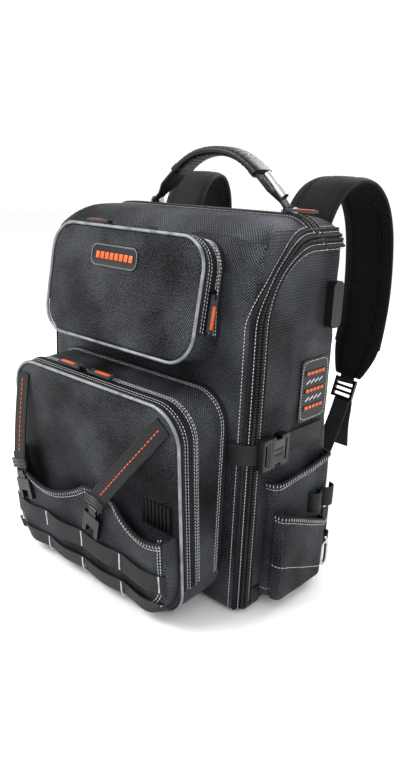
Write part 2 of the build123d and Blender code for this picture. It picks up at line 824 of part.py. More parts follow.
leg_end_z = handle_pin_z + leg_rise
apex_z = handle_pin_z + handle_rise
with BuildPart() as handle_webbing:
    with BuildSketch(Plane.XZ.offset(-handle_y)) as handle_side:
        with BuildLine() as handle_line:
            FilletPolyline(
                (-foot_x, handle_pin_z),
                (-grip_x, leg_end_z),
                (-grip_x * 0.4, apex_z),
                (grip_x * 0.4, apex_z),
                (grip_x, leg_end_z),
                (foot_x, handle_pin_z),
                radius=30,
            )
        trace(handle_line.line, line_width=web_thick)
    extrude(amount=handle_web / 2, both=True)
    # each leg narrows to the eye that turns on its anchor's pin
    for foot_sign in (-1, 1):
        for edge_sign in (-1, 1):
            edge_y = handle_y + edge_sign * (foot_web / 2 + handle_web / 2)
            with Locations((foot_sign * foot_x, edge_y, handle_pin_z)):
                Box(44, handle_web, 32, mode=Mode.SUBTRACT)
            tip_y = handle_y + edge_sign * (eye_r + handle_web / 2)
            with Locations((foot_sign * foot_x, tip_y, handle_pin_z)):
                Box(eye_r * 2, handle_web, eye_r * 2, mode=Mode.SUBTRACT)
    for foot_sign in (-1, 1):
        with BuildSketch(Plane.YZ.offset(foot_sign * foot_x)):
            with Locations((handle_y, handle_pin_z)):
                Circle(eye_r)
        extrude(amount=foot_web / 2, both=True)
        with BuildSketch(Plane.YZ.offset(foot_sign * foot_x)):
            with Locations((handle_y, handle_pin_z)):
                Circle(handle_pin_r + pin_gap)
        extrude(amount=handle_web, both=True, mode=Mode.SUBTRACT)
save(handle_webbing.part, "handle_webbing")

with BuildPart() as handle_grip:
    with BuildSketch(Plane.XZ.offset(-handle_y)):
        with BuildLine() as grip_line:
            FilletPolyline(
                (-grip_x - 6, leg_end_z - 6 * leg_rise / (foot_x - grip_x)),
                (-grip_x, leg_end_z),
                (-grip_x * 0.4, apex_z),
                (grip_x * 0.4, apex_z),
                (grip_x, leg_end_z),
                (grip_x + 6, leg_end_z - 6 * leg_rise / (foot_x - grip_x)),
                radius=(8, 30, 30, 8),
            )
        trace(grip_line.line, line_width=grip_thick)
    extrude(amount=grip_wide / 2, both=True)
    add(handle_webbing.part, mode=Mode.SUBTRACT)
save(handle_grip.part, "handle_grip")

# A satin tube with a bright lower sleeve lies along the front edge of the right leg.
leg_dir = Vector(grip_x - foot_x, 0, leg_rise).normalized()
leg_side = Vector(leg_dir.Z, 0, -leg_dir.X)
rod_start = Vector(foot_x, handle_y - 6, handle_pin_z) + leg_dir * 13
rod_start += leg_side * (web_thick / 2 + sleeve_r + move_gap)
rod_long = 40.0
sleeve_long = 17.0
rod_plane = Plane(origin=rod_start, z_dir=leg_dir)
with BuildPart() as handle_rod:
    with BuildSketch(rod_plane):
        Circle(rod_r)
    extrude(amount=rod_long)
    with BuildSketch(rod_plane):
        Circle(sleeve_r)
    extrude(amount=sleeve_long)
save(handle_rod.part, "handle_rod")

# ---------------------------------------------------------------- shoulder straps
# Each padded strap is sewn to the back panel's top, stands over and hangs to a ladder lock.
strap_face_y = back_y + shoulder_thick / 2
eye_wide = 22.0
lock_pin_r = 1.8
lock_long = 30.0
lock_arm = 4.0
lower_web_thick = 2.0
for side_name, side_sign in (("right", 1), ("left", -1)):
    strap_stop = Vector(side_sign * 146, strap_face_y + 98, 246)
    last_bend = Vector(side_sign * 150, strap_face_y + 112, 300)
    down = (strap_stop - last_bend).normalized()
    away = down.cross(Vector(side_sign, 0, 0)).normalized() * side_sign
    pin_dir = away.cross(down)
    pin_at = strap_stop + down * 7
    lock_plane = Plane(origin=pin_at, x_dir=down, z_dir=away)
    lock_pin_plane = Plane(origin=pin_at, x_dir=down, z_dir=pin_dir)
    with BuildPart() as shoulder_strap:
        with BuildLine() as strap_line:
            FilletPolyline(
                (side_sign * 112, strap_face_y, 396),
                (side_sign * 112, strap_face_y, 452),
                (side_sign * 118, strap_face_y + 30, 510),
                (side_sign * 130, strap_face_y + 80, 524),
                (side_sign * 142, strap_face_y + 118, 480),
                (side_sign * 150, strap_face_y + 122, 380),
                last_bend,
                strap_stop,
                radius=28,
            )
        with BuildSketch(Plane(origin=strap_line.line @ 0, x_dir=(1, 0, 0), z_dir=(0, 0, 1))):
            RectangleRounded(shoulder_wide, shoulder_thick, shoulder_thick * 0.4)
        sweep(transition=Transition.ROUND)
        with BuildSketch(lock_pin_plane):
            Circle(lock_pin_r + 2.2)
            with Locations((-5, 0)):
                Rectangle(10, 3)
        extrude(amount=eye_wide / 2, both=True)
        with BuildSketch(lock_pin_plane):
            Circle(lock_pin_r + pin_gap)
        extrude(amount=eye_wide, both=True, mode=Mode.SUBTRACT)
    save(shoulder_strap.part, f"shoulder_strap_{side_name}")

    with BuildPart() as ladder_lock:
        with BuildSketch(lock_pin_plane):
            Circle(lock_pin_r)
        extrude(amount=lock_wide / 2, both=True)
        with BuildSketch(lock_plane):
            for arm_sign in (-1, 1):
                with Locations((lock_long / 2 - 3, arm_sign * (lock_wide - lock_arm) / 2)):
                    Rectangle(lock_long, lock_arm)
            for bar_at in (9.0, 17.0, lock_long - 5):
                with Locations((bar_at, 0)):
                    Rectangle(3.6, lock_wide)
        extrude(amount=lock_thick / 2, both=True)
    save(ladder_lock.part, f"ladder_lock_{side_name}")
    print(side_name, "ladder lock pin", pin_at, "axis", pin_dir)

# The lower webbing rises from the back's foot to each lock, folds and hangs as a tail.
web_foot_z = 44.0
with BuildPart() as strap_webbing:
    for side_sign in (-1, 1):
        with BuildLine() as webbing_line:
            FilletPolyline(
                (side_sign * 146, back_y + lower_web_thick / 2, web_foot_z),
                (side_sign * 146, back_y + lower_web_thick / 2, web_foot_z + 26),
                (side_sign * 146, back_y + 50, web_foot_z + 90),
                (side_sign * 146, strap_face_y + 86, 206),
                (side_sign * 146, strap_face_y + 98, 202),
                (side_sign * 146, strap_face_y + 92, 176),
                (side_sign * 146, strap_face_y + 96, 140),
                radius=(18, 40, 5, 5, 30),
            )
        with BuildSketch(Plane(origin=webbing_line.line @ 0, x_dir=(1, 0, 0), z_dir=(0, 0, 1))):
            Rectangle(strap_wide, lower_web_thick)
        sweep(path=webbing_line.line)
save(strap_webbing.part, "strap_webbing")


# ---------------------------------------------------------------- side pockets
def side_pocket(side_sign, base_x, out, rear_y, front_z, rear_z):
    """An open pocket on a side wall, with a mouth that slopes from front_z to rear_z."""
    middle_y = (side_front_y + rear_y) / 2
    long = rear_y - side_front_y
    tall = max(front_z, rear_z) - pocket_foot_z
    far = -1 if side_sign > 0 else 0
    with BuildPart() as cup:
        with BuildSketch(Plane.XY.offset(pocket_foot_z)):
            with Locations((side_sign * (base_x + out / 2), middle_y)):
                whole = Rectangle(out, long)
            fillet(whole.vertices().group_by(Axis.X)[far], 10)
        extrude(amount=tall)
        with BuildSketch(Plane.XY.offset(pocket_foot_z + cloth)):
            with Locations((side_sign * (base_x + (out - cloth) / 2), middle_y)):
                hollow = Rectangle(out - cloth, long - 2 * cloth)
            fillet(hollow.vertices().group_by(Axis.X)[far], 10 - cloth)
        extrude(amount=tall, mode=Mode.SUBTRACT)
        with BuildSketch(Plane.YZ):
            with BuildLine():
                Polyline(
                    (side_front_y - 1, front_z),
                    (rear_y + 1, rear_z),
                    (rear_y + 1, rear_z + 2 * beyond),
                    (side_front_y - 1, rear_z + 2 * beyond),
                    (side_front_y - 1, front_z),
                )
            make_face()
        extrude(amount=2 * half_width, both=True, mode=Mode.SUBTRACT)
    return cup.part


phone_x = half_width + phone_out
small_x = phone_x + small_out
save(side_pocket(1, half_width, phone_out, side_rear_y, 166, 178), "phone_pocket")
save(side_pocket(1, phone_x, small_out, small_rear_y, 132, 92), "small_pocket")
save(side_pocket(-1, half_width, bottle_out, side_rear_y, 150, 170), "bottle_pocket")

# Webbing on the right side: two upright tool loops, and a hanging strap for a tape roll.
loop_ys = (34.0, 62.0)
loop_foot_z = 110.0
loop_high = 26.0
loop_r = 11.0
tape_y = 66.0
tape_top_z = 100.0
tape_foot_z = 62.0
tape_wide = 14.0
hook_pin_r = 1.6
hook_pin_x = phone_x + strap_thick + 4
hook_pin_z = tape_foot_z - 6
with BuildPart() as side_webbing:
    with BuildSketch(Plane.XY.offset(loop_foot_z)):
        with Locations(*[(phone_x, loop_y) for loop_y in loop_ys]):
            Circle(loop_r)
        with Locations(*[(phone_x, loop_y) for loop_y in loop_ys]):
            Circle(loop_r - strap_thick, mode=Mode.SUBTRACT)
        with Locations((phone_x - beyond / 2, 0)):
            Rectangle(beyond, body_depth, mode=Mode.SUBTRACT)
    extrude(amount=loop_high)
    with BuildSketch(Plane.YZ.offset(phone_x)):
        with Locations((tape_y, (tape_top_z + tape_foot_z) / 2)):
            Rectangle(tape_wide, tape_top_z - tape_foot_z)
    extrude(amount=strap_thick)
    # cheeks and pin that the snap hook turns on
    with BuildSketch(Plane.XZ.offset(-tape_y)):
        with BuildLine():
            Polyline(
                (phone_x, tape_foot_z + 8),
                (hook_pin_x + 2.4, tape_foot_z + 8),
                (hook_pin_x + 2.4, hook_pin_z - 2.4),
                (hook_pin_x - 2.4, hook_pin_z - 2.4),
                (phone_x, tape_foot_z),
                (phone_x, tape_foot_z + 8),
            )
        make_face()
    extrude(amount=tape_wide / 2, both=True)
    with Locations((hook_pin_x, tape_y, hook_pin_z)):
        Box(20, 6, 14.4, mode=Mode.SUBTRACT)
    with BuildSketch(Plane.XZ.offset(-tape_y)):
        with Locations((hook_pin_x, hook_pin_z)):
            Circle(hook_pin_r)
    extrude(amount=tape_wide / 2, both=True)
save(side_webbing.part, "side_webbing")

snap_long = 36.0
snap_wide = 16.0
snap_wire = 3.6
with BuildPart() as tape_hook:
    with BuildSketch(Plane.XZ.offset(-tape_y)):
        with Locations((hook_pin_x, hook_pin_z)):
            Circle(hook_pin_r + 2)
            Circle(hook_pin_r + pin_gap, mode=Mode.SUBTRACT)
    extrude(amount=snap_wire / 2, both=True)
    with BuildSketch(Plane.YZ.offset(hook_pin_x)):
        with Locations((tape_y, hook_pin_z - hook_pin_r - 1.2 - snap_long / 2)):
            SlotOverall(snap_long, snap_wide, rotation=90)
            SlotOverall(
                snap_long - 2 * snap_wire, snap_wide - 2 * snap_wire, rotation=90,
                mode=Mode.SUBTRACT,
            )
    extrude(amount=snap_wire / 2, both=True)
save(tape_hook.part, "tape_hook")

# ---------------------------------------------------------------- charging port and patch
port_y = 60.0
port_foot_z = 344.0
port_high = 58.0
port_wide = 22.0
port_out = 11.0
socket_wide = 13.0
socket_thick = 5.6
socket_deep = 14.0
with BuildPart() as usb_port:
    with BuildSketch(Plane.YZ.offset(half_width)):
        with Locations((port_y, port_foot_z + port_high / 2)):
            RectangleRounded(port_wide, port_high, 8)
    extrude(amount=port_out)
    with Locations((half_width + port_out / 2, port_y, port_foot_z + socket_deep / 2)):
        Box(socket_thick, socket_wide, socket_deep, mode=Mode.SUBTRACT)
save(usb_port.part, "usb_port")

patch_y = 38.0
patch_foot_z = 228.0
patch_high = 80.0
patch_wide = 60.0
patch_thick = 2.0
bar_rows = 3
with BuildPart() as side_patch:
    with BuildSketch(Plane.YZ.offset(half_width)):
        with Locations((patch_y, patch_foot_z + patch_high / 2)):
            RectangleRounded(patch_wide, patch_high, 6)
    extrude(amount=patch_thick)
    with BuildSketch(Plane.YZ.offset(half_width + patch_thick)):
        for bar_row in range(bar_rows):
            bar_z = patch_foot_z + patch_high * (bar_row + 0.8) / (bar_rows + 0.6)
            with Locations((patch_y, bar_z)):
                Rectangle(patch_wide * 0.7, 6)
    extrude(amount=0.8)
save(side_patch.part, "side_patch")
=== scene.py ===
import math

import bmesh
import bpy
from mathutils import Matrix, Vector
from mathutils.bvhtree import BVHTree


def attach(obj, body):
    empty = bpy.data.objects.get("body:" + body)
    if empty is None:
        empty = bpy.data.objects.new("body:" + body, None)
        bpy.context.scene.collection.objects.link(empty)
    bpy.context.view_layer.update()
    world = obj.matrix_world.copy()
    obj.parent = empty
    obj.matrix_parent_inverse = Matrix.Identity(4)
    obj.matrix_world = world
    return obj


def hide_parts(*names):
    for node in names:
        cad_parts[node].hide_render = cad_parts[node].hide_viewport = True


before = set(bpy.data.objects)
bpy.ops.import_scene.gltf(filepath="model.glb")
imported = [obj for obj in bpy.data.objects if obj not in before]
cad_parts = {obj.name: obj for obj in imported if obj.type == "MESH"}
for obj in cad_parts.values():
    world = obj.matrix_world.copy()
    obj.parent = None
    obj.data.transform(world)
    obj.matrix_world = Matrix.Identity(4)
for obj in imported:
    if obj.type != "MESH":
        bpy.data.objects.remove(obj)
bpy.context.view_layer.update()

MM = 0.001

# ------------------------------------------------------------------ camera
# The camera stands to the right of the pack's front at chest height and looks a little down
# along it, with the pack's front panel on the left and the charging side on the right.
camera_data = bpy.data.cameras.new("camera")
camera_data.sensor_fit = "VERTICAL"
camera_data.sensor_height = 36
camera_data.lens = 31.46
camera_data.shift_x = 0.0146
camera_data.shift_y = -0.033
camera = bpy.data.objects.new("camera", camera_data)
bpy.context.scene.collection.objects.link(camera)
camera_turn = (
    Matrix.Rotation(math.radians(42.73), 3, "Z")
    @ Matrix.Rotation(math.radians(90 - 15.6), 3, "X")
    @ Matrix.Rotation(math.radians(2.3), 3, "Z")
)
camera.rotation_euler = camera_turn.to_euler()
camera.location = (0.6229, -0.6661, 0.5200)
bpy.context.scene.camera = camera


# ------------------------------------------------------------------ studio
# A flat white sheet of paper under the pack, one broad soft box high on the left, a
# weaker one on the right and a strip behind that draws the edges.
def linear(code):
    """Linear colour from an sRGB hex code."""
    parts = [int(code[i : i + 2], 16) / 255 for i in (1, 3, 5)]
    return [p / 12.92 if p < 0.04045 else ((p + 0.055) / 1.055) ** 2.4 for p in parts] + [1]


def add_node(tree, kind, settings=None, **links):
    """Adds a node, sets its properties, and fills its sockets with values or other outputs."""
    made = tree.nodes.new(kind)
    for key, value in (settings or {}).items():
        setattr(made, key, value)
    for key, value in links.items():
        socket = made.inputs[int(key[1:])] if key[0] == "n" and key[1:].isdigit() else None
        socket = socket or made.inputs[key.replace("_", " ")]
        if isinstance(value, bpy.types.NodeSocket):
            tree.links.new(value, socket)
        else:
            socket.default_value = value
    return made


def new_material(name):
    """An empty node material; returns it with its tree and its shader."""
    made = bpy.data.materials.new(name)
    made.use_nodes = True
    return made, made.node_tree, made.node_tree.nodes["Principled BSDF"]


paper, _, paper_shader = new_material("matt_white_paper")
paper_shader.inputs["Base Color"].default_value = linear("#f6f6f6")
paper_shader.inputs["Roughness"].default_value = 0.9
bpy.ops.mesh.primitive_plane_add(size=14, location=(0, 0, -0.0005))
floor = bpy.context.object
floor.name = "floor"
floor.data.materials.append(paper)

world = bpy.data.worlds.new("studio")
bpy.context.scene.world = world
bpy.context.scene.view_settings.view_transform = "Standard"
world.use_nodes = True
world.node_tree.nodes["Background"].inputs[0].default_value = linear("#ffffff")
world.node_tree.nodes["Background"].inputs[1].default_value = 1.05


def soft_box(name, place, aim, size, watts):
    """A square area light that faces a point."""
    data = bpy.data.lights.new(name, "AREA")
    data.shape = "RECTANGLE"
    data.size, data.size_y = size
    data.energy = watts
    lamp = bpy.data.objects.new(name, data)
    lamp.location = place
    lamp.rotation_euler = (Vector(aim) - Vector(place)).to_track_quat("-Z", "Y").to_euler()
    bpy.context.scene.collection.objects.link(lamp)


soft_box("key", (-0.9, -1.5, 1.7), (0, -0.05, 0.25), (1.1, 1.1), 48)
soft_box("fill", (1.9, -0.3, 0.9), (0, 0, 0.25), (0.9, 1.4), 10)
soft_box("edge", (0.2, 1.5, 1.5), (0, 0, 0.35), (1.4, 0.5), 20)


# ------------------------------------------------------------------ tray and lid cloth
# The pack's walls are charcoal ballistic nylon laminated to thin foam and lined with orange
# polyester. One block is patterned, then parted along the main zip into tray and lid.
def coat(tree, shader, shade, colours, stops, height, depth, strength, rough, gloss=0.5):
    """Colours a shader by a pattern, low to high, and raises the surface by depth mm."""
    ramp = add_node(tree, "ShaderNodeValToRGB", Fac=shade)
    for element, stop, code in zip(ramp.color_ramp.elements, stops, colours):
        element.position = stop
        element.color = linear(code)
    bump = add_node(tree, "ShaderNodeBump", Height=height, Distance=depth * MM, Strength=strength)
    tree.links.new(ramp.outputs[0], shader.inputs["Base Color"])
    tree.links.new(bump.outputs[0], shader.inputs["Normal"])
    shader.inputs["Roughness"].default_value = rough
    shader.inputs["Specular IOR Level"].default_value = gloss


def maths(tree, operation, *values):
    """A math node's output; each value is a number or another output."""
    sockets = {f"n{i}": value for i, value in enumerate(values)}
    return add_node(tree, "ShaderNodeMath", {"operation": operation}, **sockets).outputs[0]


def ridges(tree, place, axis, pitch):
    """Rounded ridges, one every pitch along an axis of a place."""
    apart = add_node(tree, "ShaderNodeSeparateXYZ", Vector=place)
    angle = maths(tree, "MULTIPLY", apart.outputs[axis], math.pi / pitch)
    return maths(tree, "ABSOLUTE", maths(tree, "SINE", angle))


def weave_with_painted_crests(name, dark, light, thread, depth, rough, slant=0.0, gloss=0.18):
    """Woven cloth: warp and weft threads cross over and under, thread mm apart, on the UV map. Its
    thread crests are painted pale as a highlight.
    """
    made, tree, shader = new_material(name)
    uv = add_node(tree, "ShaderNodeUVMap").outputs[0]
    turned = add_node(
        tree, "ShaderNodeMapping", Vector=uv, Rotation=(0, 0, slant), Scale=[1 / (thread * MM)] * 3
    ).outputs[0]
    over = add_node(tree, "ShaderNodeTexChecker", Vector=turned, Scale=1.0).outputs["Fac"]
    warp, weft = ridges(tree, turned, 0, 1), ridges(tree, turned, 1, 1)
    height = add_node(tree, "ShaderNodeMix", n0=over, n2=warp, n3=weft).outputs[0]
    blotch = add_node(tree, "ShaderNodeTexNoise", Vector=uv, Scale=9.0, Detail=4.0).outputs[0]
    grain = add_node(tree, "ShaderNodeTexNoise", Vector=uv, Scale=420.0, Detail=2.0).outputs[0]
    # painted highlight: the colour follows thread height, pale on the crests and dark in the
    # hollows, varied at random
    shade = maths(tree, "MULTIPLY", height, maths(tree, "MULTIPLY_ADD", grain, 0.5, blotch))
    stops = (0.55, 0.98)
    coat(tree, shader, shade, (dark, light), stops, height, depth, 0.9, rough, gloss)
    return made


# Ballistic nylon: thick flat yarns, a dull sheen. Real yarns are 1.3 mm apart and are drawn
# at 2.4 mm, so that the basket pattern shows. In both cloths the crests are painted pale as a
# highlight.
ballistic = weave_with_painted_crests("ballistic_nylon_woven", "#010102", "#6a6e76", 2.4, 0.7, 0.5, 0.785, 0.1)
lining = weave_with_painted_crests("polyester_lining_orange", "#a83a08", "#d9581a", 1.6, 0.2, 0.7)


def deselect():
    """Clears the selection, which the edit operators read."""
    bpy.ops.object.select_all(action="DESELECT")


def block(name, low, high):
    """A new block between two corners, in metres, with its place in its mesh."""
    deselect()
    middle = [(l + h) / 2 for l, h in zip(low, high)]
    bpy.ops.mesh.primitive_cube_add(size=1, location=middle)
    made = bpy.context.object
    made.name = name
    made.scale = [h - l for l, h in zip(low, high)]
    bpy.ops.object.transform_apply(location=True, rotation=True, scale=True)
    return made


def edit(piece, test, kind, work):
    """Selects a piece's faces, edges or vertices by a test on them, and runs work in edit mode."""
    deselect()
    piece.select_set(True)
    bpy.context.view_layer.objects.active = piece
    bpy.ops.object.mode_set(mode="EDIT")
    bpy.ops.mesh.select_mode(type=kind)
    bpy.ops.mesh.select_all(action="DESELECT")
    mesh = bmesh.from_edit_mesh(piece.data)
    chosen = {"FACE": mesh.faces, "EDGE": mesh.edges, "VERT": mesh.verts}[kind]
    for part in chosen:
        if test(part):
            part.select_set(True)
    mesh.select_flush_mode()
    bmesh.update_edit_mesh(piece.data)
    work()
    bpy.ops.object.mode_set(mode="OBJECT")


def along(axis, near=None):
    """A test for edges that run along an axis, with their middle near a place."""

    def test(edge):
        a, b = (v.co for v in edge.verts)
        line = (b - a).normalized()
        middle = (a + b) / 2
        return abs(line[axis]) > 0.99 and (near is None or near(middle))

    return test


def round_edges(piece, test, width, steps=8):
    """Rounds the edges that pass a test."""
    edit(
        piece,
        test,
        "EDGE",
        lambda: bpy.ops.mesh.bevel(offset=width, segments=steps, affect="EDGES", profile=0.5),
    )


def modify(piece, kind, **settings):
    """Adds a modifier and applies it."""
    deselect()
    piece.select_set(True)
    bpy.context.view_layer.objects.active = piece
    made = piece.modifiers.new(kind.lower(), kind)
    for key, value in settings.items():
        setattr(made, key, value)
    bpy.ops.object.modifier_apply(modifier=made.name)


def carve(piece, tool, operation, solver="FAST"):
    """Boolean with a tool whose faces come out in material slot 1; the tool is used up."""
    while len(piece.data.materials) < 2:
        piece.data.materials.append(ballistic if len(piece.data.materials) == 0 else lining)
    while len(tool.data.materials) < 2:
        tool.data.materials.append(lining)
    for polygon in tool.data.polygons:
        polygon.material_index = 1
    modify(piece, "BOOLEAN", object=tool, operation=operation, solver=solver)
    bpy.data.objects.remove(tool)


def copy_of(piece, name):
    """A piece's copy with its own mesh."""
    made = piece.copy()
    made.data = piece.data.copy()
    made.name = name
    bpy.context.scene.collection.objects.link(made)
    return made


def drop_faces(piece, test):
    """Deletes the faces that pass a test."""
    edit(piece, test, "FACE", lambda: bpy.ops.mesh.delete(type="FACE"))


def map_cloth(piece):
    """UV map at one unit to the metre, laid on each face from the side that it faces most."""
    mesh = piece.data
    cloth_map = mesh.uv_layers[0] if mesh.uv_layers else mesh.uv_layers.new(name="cloth")
    for polygon in mesh.polygons:
        side = max(range(3), key=lambda i: abs(polygon.normal[i]))
        first, second = ((1, 2), (0, 2), (0, 1))[side]
        for loop in polygon.loop_indices:
            place = mesh.vertices[mesh.loops[loop].vertex_index].co
            cloth_map.data[loop].uv = (place[first], place[second])


def smooth(piece, degrees=40):
    """Shades a piece smooth, but keeps edges sharper than an angle."""
    deselect()
    piece.select_set(True)
    bpy.context.view_layer.objects.active = piece
    bpy.ops.object.shade_smooth_by_angle(angle=math.radians(degrees))


half = 185 * MM
front_y = -88 * MM
back_y = 88 * MM
top_z = 476 * MM
front_bend = 75 * MM
zip_y = front_y + 14 * MM
zip_top = 452 * MM
zip_bend = 95 * MM
cross_y = 30 * MM
tape = 8 * MM


def body_block(name):
    """The closed outer form: three blocks with different rounded edges, intersected."""
    made = block(name, (-half, front_y, 0), (half, back_y, top_z))
    round_edges(made, along(2), 22 * MM)
    profile = block("profile", (-half - 0.02, front_y, 0), (half + 0.02, back_y, top_z))
    round_edges(profile, along(0, lambda m: m.z > 0.2 and m.y < 0), front_bend, 16)
    round_edges(profile, along(0, lambda m: m.z > 0.2 and m.y > back_y - 0.01), 24 * MM)
    round_edges(profile, along(0, lambda m: m.z < 0.01), 10 * MM, 5)
    carve(made, profile, "INTERSECT", "EXACT")
    front = block("front", (-half, front_y - 0.02, 0), (half, back_y + 0.02, top_z))
    round_edges(front, along(1, lambda m: m.z > 0.2), 45 * MM, 12)
    round_edges(front, along(1, lambda m: m.z < 0.01), 10 * MM, 5)
    carve(made, front, "INTERSECT", "EXACT")
    for polygon in made.data.polygons:
        polygon.material_index = 0
    return made


def behind_zip(name, off):
    """All the space behind the main zip, moved forward by off."""
    made = block(name, (-0.3, zip_y - off, -0.1), (0.3, 0.3, zip_top + off))
    round_edges(made, along(0, lambda m: m.z > 0.2 and m.y < 0), zip_bend + off, 24)
    upper = block("upper", (-0.3, cross_y - off, zip_top - 0.05), (0.3, 0.3, 0.6))
    modify(made, "BOOLEAN", object=upper, operation="UNION", solver="EXACT")
    bpy.data.objects.remove(upper)
    return made


core = body_block("core")
whole = copy_of(core, "whole")
modify(whole, "REMESH", mode="VOXEL", voxel_size=4 * MM)
modify(whole, "SMOOTH", factor=0.5, iterations=6)


def zip_distance(point):
    """How far a point of the wall is from the main zip's line, in metres, seen from the side."""
    bend_y, bend_z = zip_y + zip_bend, zip_top - zip_bend
    if point.z < bend_z:
        return abs(point.y - zip_y)
    if point.y < bend_y:
        reach = math.hypot(point.y - bend_y, point.z - bend_z)
        return abs(reach - zip_bend)
    return min(abs(point.z - zip_top), abs(point.y - cross_y) + 0.5 * (point.z < zip_top))


# The foam walls swell a few millimetres between seams and carry shallow pulls in the cloth.
# Each flat zone is a middle (y, z) and half a width and height, in metres.
flat_zones = ((0.038, 0.268, 0.036, 0.046), (0.060, 0.373, 0.016, 0.034))
normals = [vertex.normal.copy() for vertex in whole.data.vertices]
for vertex, normal in zip(whole.data.vertices, normals):
    place = vertex.co
    keep = min(1.0, max(0.0, (zip_distance(place) - 0.010) / 0.05))
    keep *= min(1.0, max(0.0, (place.z - 0.012) / 0.06))
    # flat under the back padding, the patch and the charging port, which are sewn down tight
    if place.y > 0.086:
        keep = 0.0
    if abs(place.x) > 0.17:
        for mid_y, mid_z, wide, high in flat_zones:
            away = max(abs(place.y - mid_y) - wide, abs(place.z - mid_z) - high)
            keep *= min(1.0, max(0.0, away / 0.018))
    swell = 0.0032 * keep * math.sin(math.pi * min(1, max(0, place.z / top_z)))
    pull = 0.0007 * math.sin(place.z * 46 + place.y * 21) * math.sin(place.x * 27 + place.y * 31)
    pull += 0.0005 * math.sin(place.z * 95 + place.x * 58 + place.y * 70)
    vertex.co = place + normal * (swell + pull * keep)

tray = copy_of(whole, "tray_cloth")
lid = copy_of(whole, "lid_cloth")
slab = block("slab", (-0.3, -0.3, -0.1), (0.3, 0.3, 4.1 * MM))
behind = behind_zip("behind", -tape)
modify(behind, "BOOLEAN", object=slab, operation="UNION", solver="EXACT")
carve(tray, behind, "INTERSECT")
drop_faces(tray, lambda face: face.material_index == 1)
modify(tray, "SOLIDIFY", thickness=3.5 * MM, offset=-1, material_offset=1)
carve(lid, behind_zip("behind", tape), "DIFFERENCE")
carve(lid, slab, "DIFFERENCE")
drop_faces(lid, lambda face: face.material_index == 1)
modify(lid, "SOLIDIFY", thickness=3.5 * MM, offset=-1, material_offset=1)
for piece, body, nodes in (
    (tray, "pack", ("base_panel", "side_wall_right", "side_wall_left", "top_panel", "back_panel")),
    (lid, "lid", ("lid_shell",)),
):
    map_cloth(piece)
    smooth(piece, 50)
    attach(piece, body)
    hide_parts(*nodes)


# ------------------------------------------------------------------ inside panels
# A foam laptop divider and a tool panel stand in the tray, and a stiff lining lies in the
# lid. All are quilted orange polyester; the tool panel and the lid lining have rows of scalloped
# loops sewn across them.
def quilted(name, low, high, corner, puffed, facing):
    """A thin quilted panel between two corners in mm; it swells towards facing (-1 is front)."""
    wide, tall = high[0] - low[0], high[2] - low[2]
    deselect()
    bpy.ops.mesh.primitive_grid_add(x_subdivisions=90, y_subdivisions=80, size=1)
    made = bpy.context.object
    made.name = name
    middle_x, middle_z = (low[0] + high[0]) / 2, (low[2] + high[2]) / 2
    for vertex in made.data.vertices:
        x, z = vertex.co.x * wide, vertex.co.y * tall
        over = (abs(x) - wide / 2 + corner, abs(z) - tall / 2 + corner)
        if over[0] > 0 and over[1] > 0:
            reach = math.hypot(*over)
            pull = max(over) / reach
            x = math.copysign(wide / 2 - corner + over[0] * pull, x)
            z = math.copysign(tall / 2 - corner + over[1] * pull, z)
        rim = min(1, (wide / 2 - abs(x)) / 8, (tall / 2 - abs(z)) / 8)
        swell = puffed * max(0, rim) ** 0.5
        quilt = math.sin((x + z) * math.pi / 44) * math.sin((x - z) * math.pi / 44)
        swell *= abs(quilt) ** 0.4
        level = (low[1] if facing < 0 else high[1]) - facing * (puffed + 0.8)
        vertex.co = Vector((middle_x + x, level + facing * swell, middle_z + z)) * MM
    edit(
        made,
        lambda face: True,
        "FACE",
        lambda: bpy.ops.mesh.normals_make_consistent(inside=False),
    )
    if made.data.polygons[0].normal.y * facing < 0:
        made.data.flip_normals()
    modify(made, "SOLIDIFY", thickness=1.6 * MM, offset=-1)
    made.data.materials.append(lining)
    map_cloth(made)
    smooth(made, 60)
    return made


def loops(name, half_wide, level, deep, low_z, high_z, cells):
    """A band of elastic sewn down at even steps, standing off in a row of loops. In mm."""
    deselect()
    bpy.ops.mesh.primitive_grid_add(x_subdivisions=cells * 14, y_subdivisions=4, size=1)
    made = bpy.context.object
    made.name = name
    for vertex in made.data.vertices:
        x = vertex.co.x * 2 * half_wide
        off = deep * abs(math.sin(math.pi * (vertex.co.x + 0.5) * cells)) ** 0.6
        z = low_z + (high_z - low_z) * (vertex.co.y + 0.5)
        vertex.co = Vector((x, level + off, z)) * MM
    modify(made, "SOLIDIFY", thickness=1.4 * MM, offset=0)
    map_cloth(made)
    smooth(made, 50)
    return made


# The band's knit crests are painted paler as a highlight.
lining_dark = weave_with_painted_crests("elastic_band_knitted_black", "#040405", "#2c2e32", 1.6, 0.3, 0.7, 0.0)
divider = quilted("laptop_divider_quilted", (-180, 58, 5), (180, 62, 323), 18, 1.4, -1)
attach(divider, "pack")
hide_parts("laptop_divider")
panel = quilted("tool_panel_quilted", (-180, 54.6, 5), (180, 57.6, 263), 10, 0.8, -1)
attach(panel, "pack")
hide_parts("tool_panel")
for row, foot in enumerate((60, 170)):
    band = loops(f"tool_holders_{row + 1}", 176, 54.2, -12.5, foot, foot + 70, 6)
    band.data.materials.append(lining_dark)
    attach(band, "pack")
lid_panel = quilted("lid_lining_quilted", (-155, -84, 24), (155, -82, 384), 12, 1.0, 1)
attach(lid_panel, "lid")
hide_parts("lid_lining")
for row, foot in enumerate((95, 215, 315)):
    band = loops(f"lid_loops_{row + 1}", 145, -80.8, 5.0, foot, foot + 30, 8)
    band.data.materials.append(lining_dark)
    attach(band, "lid")


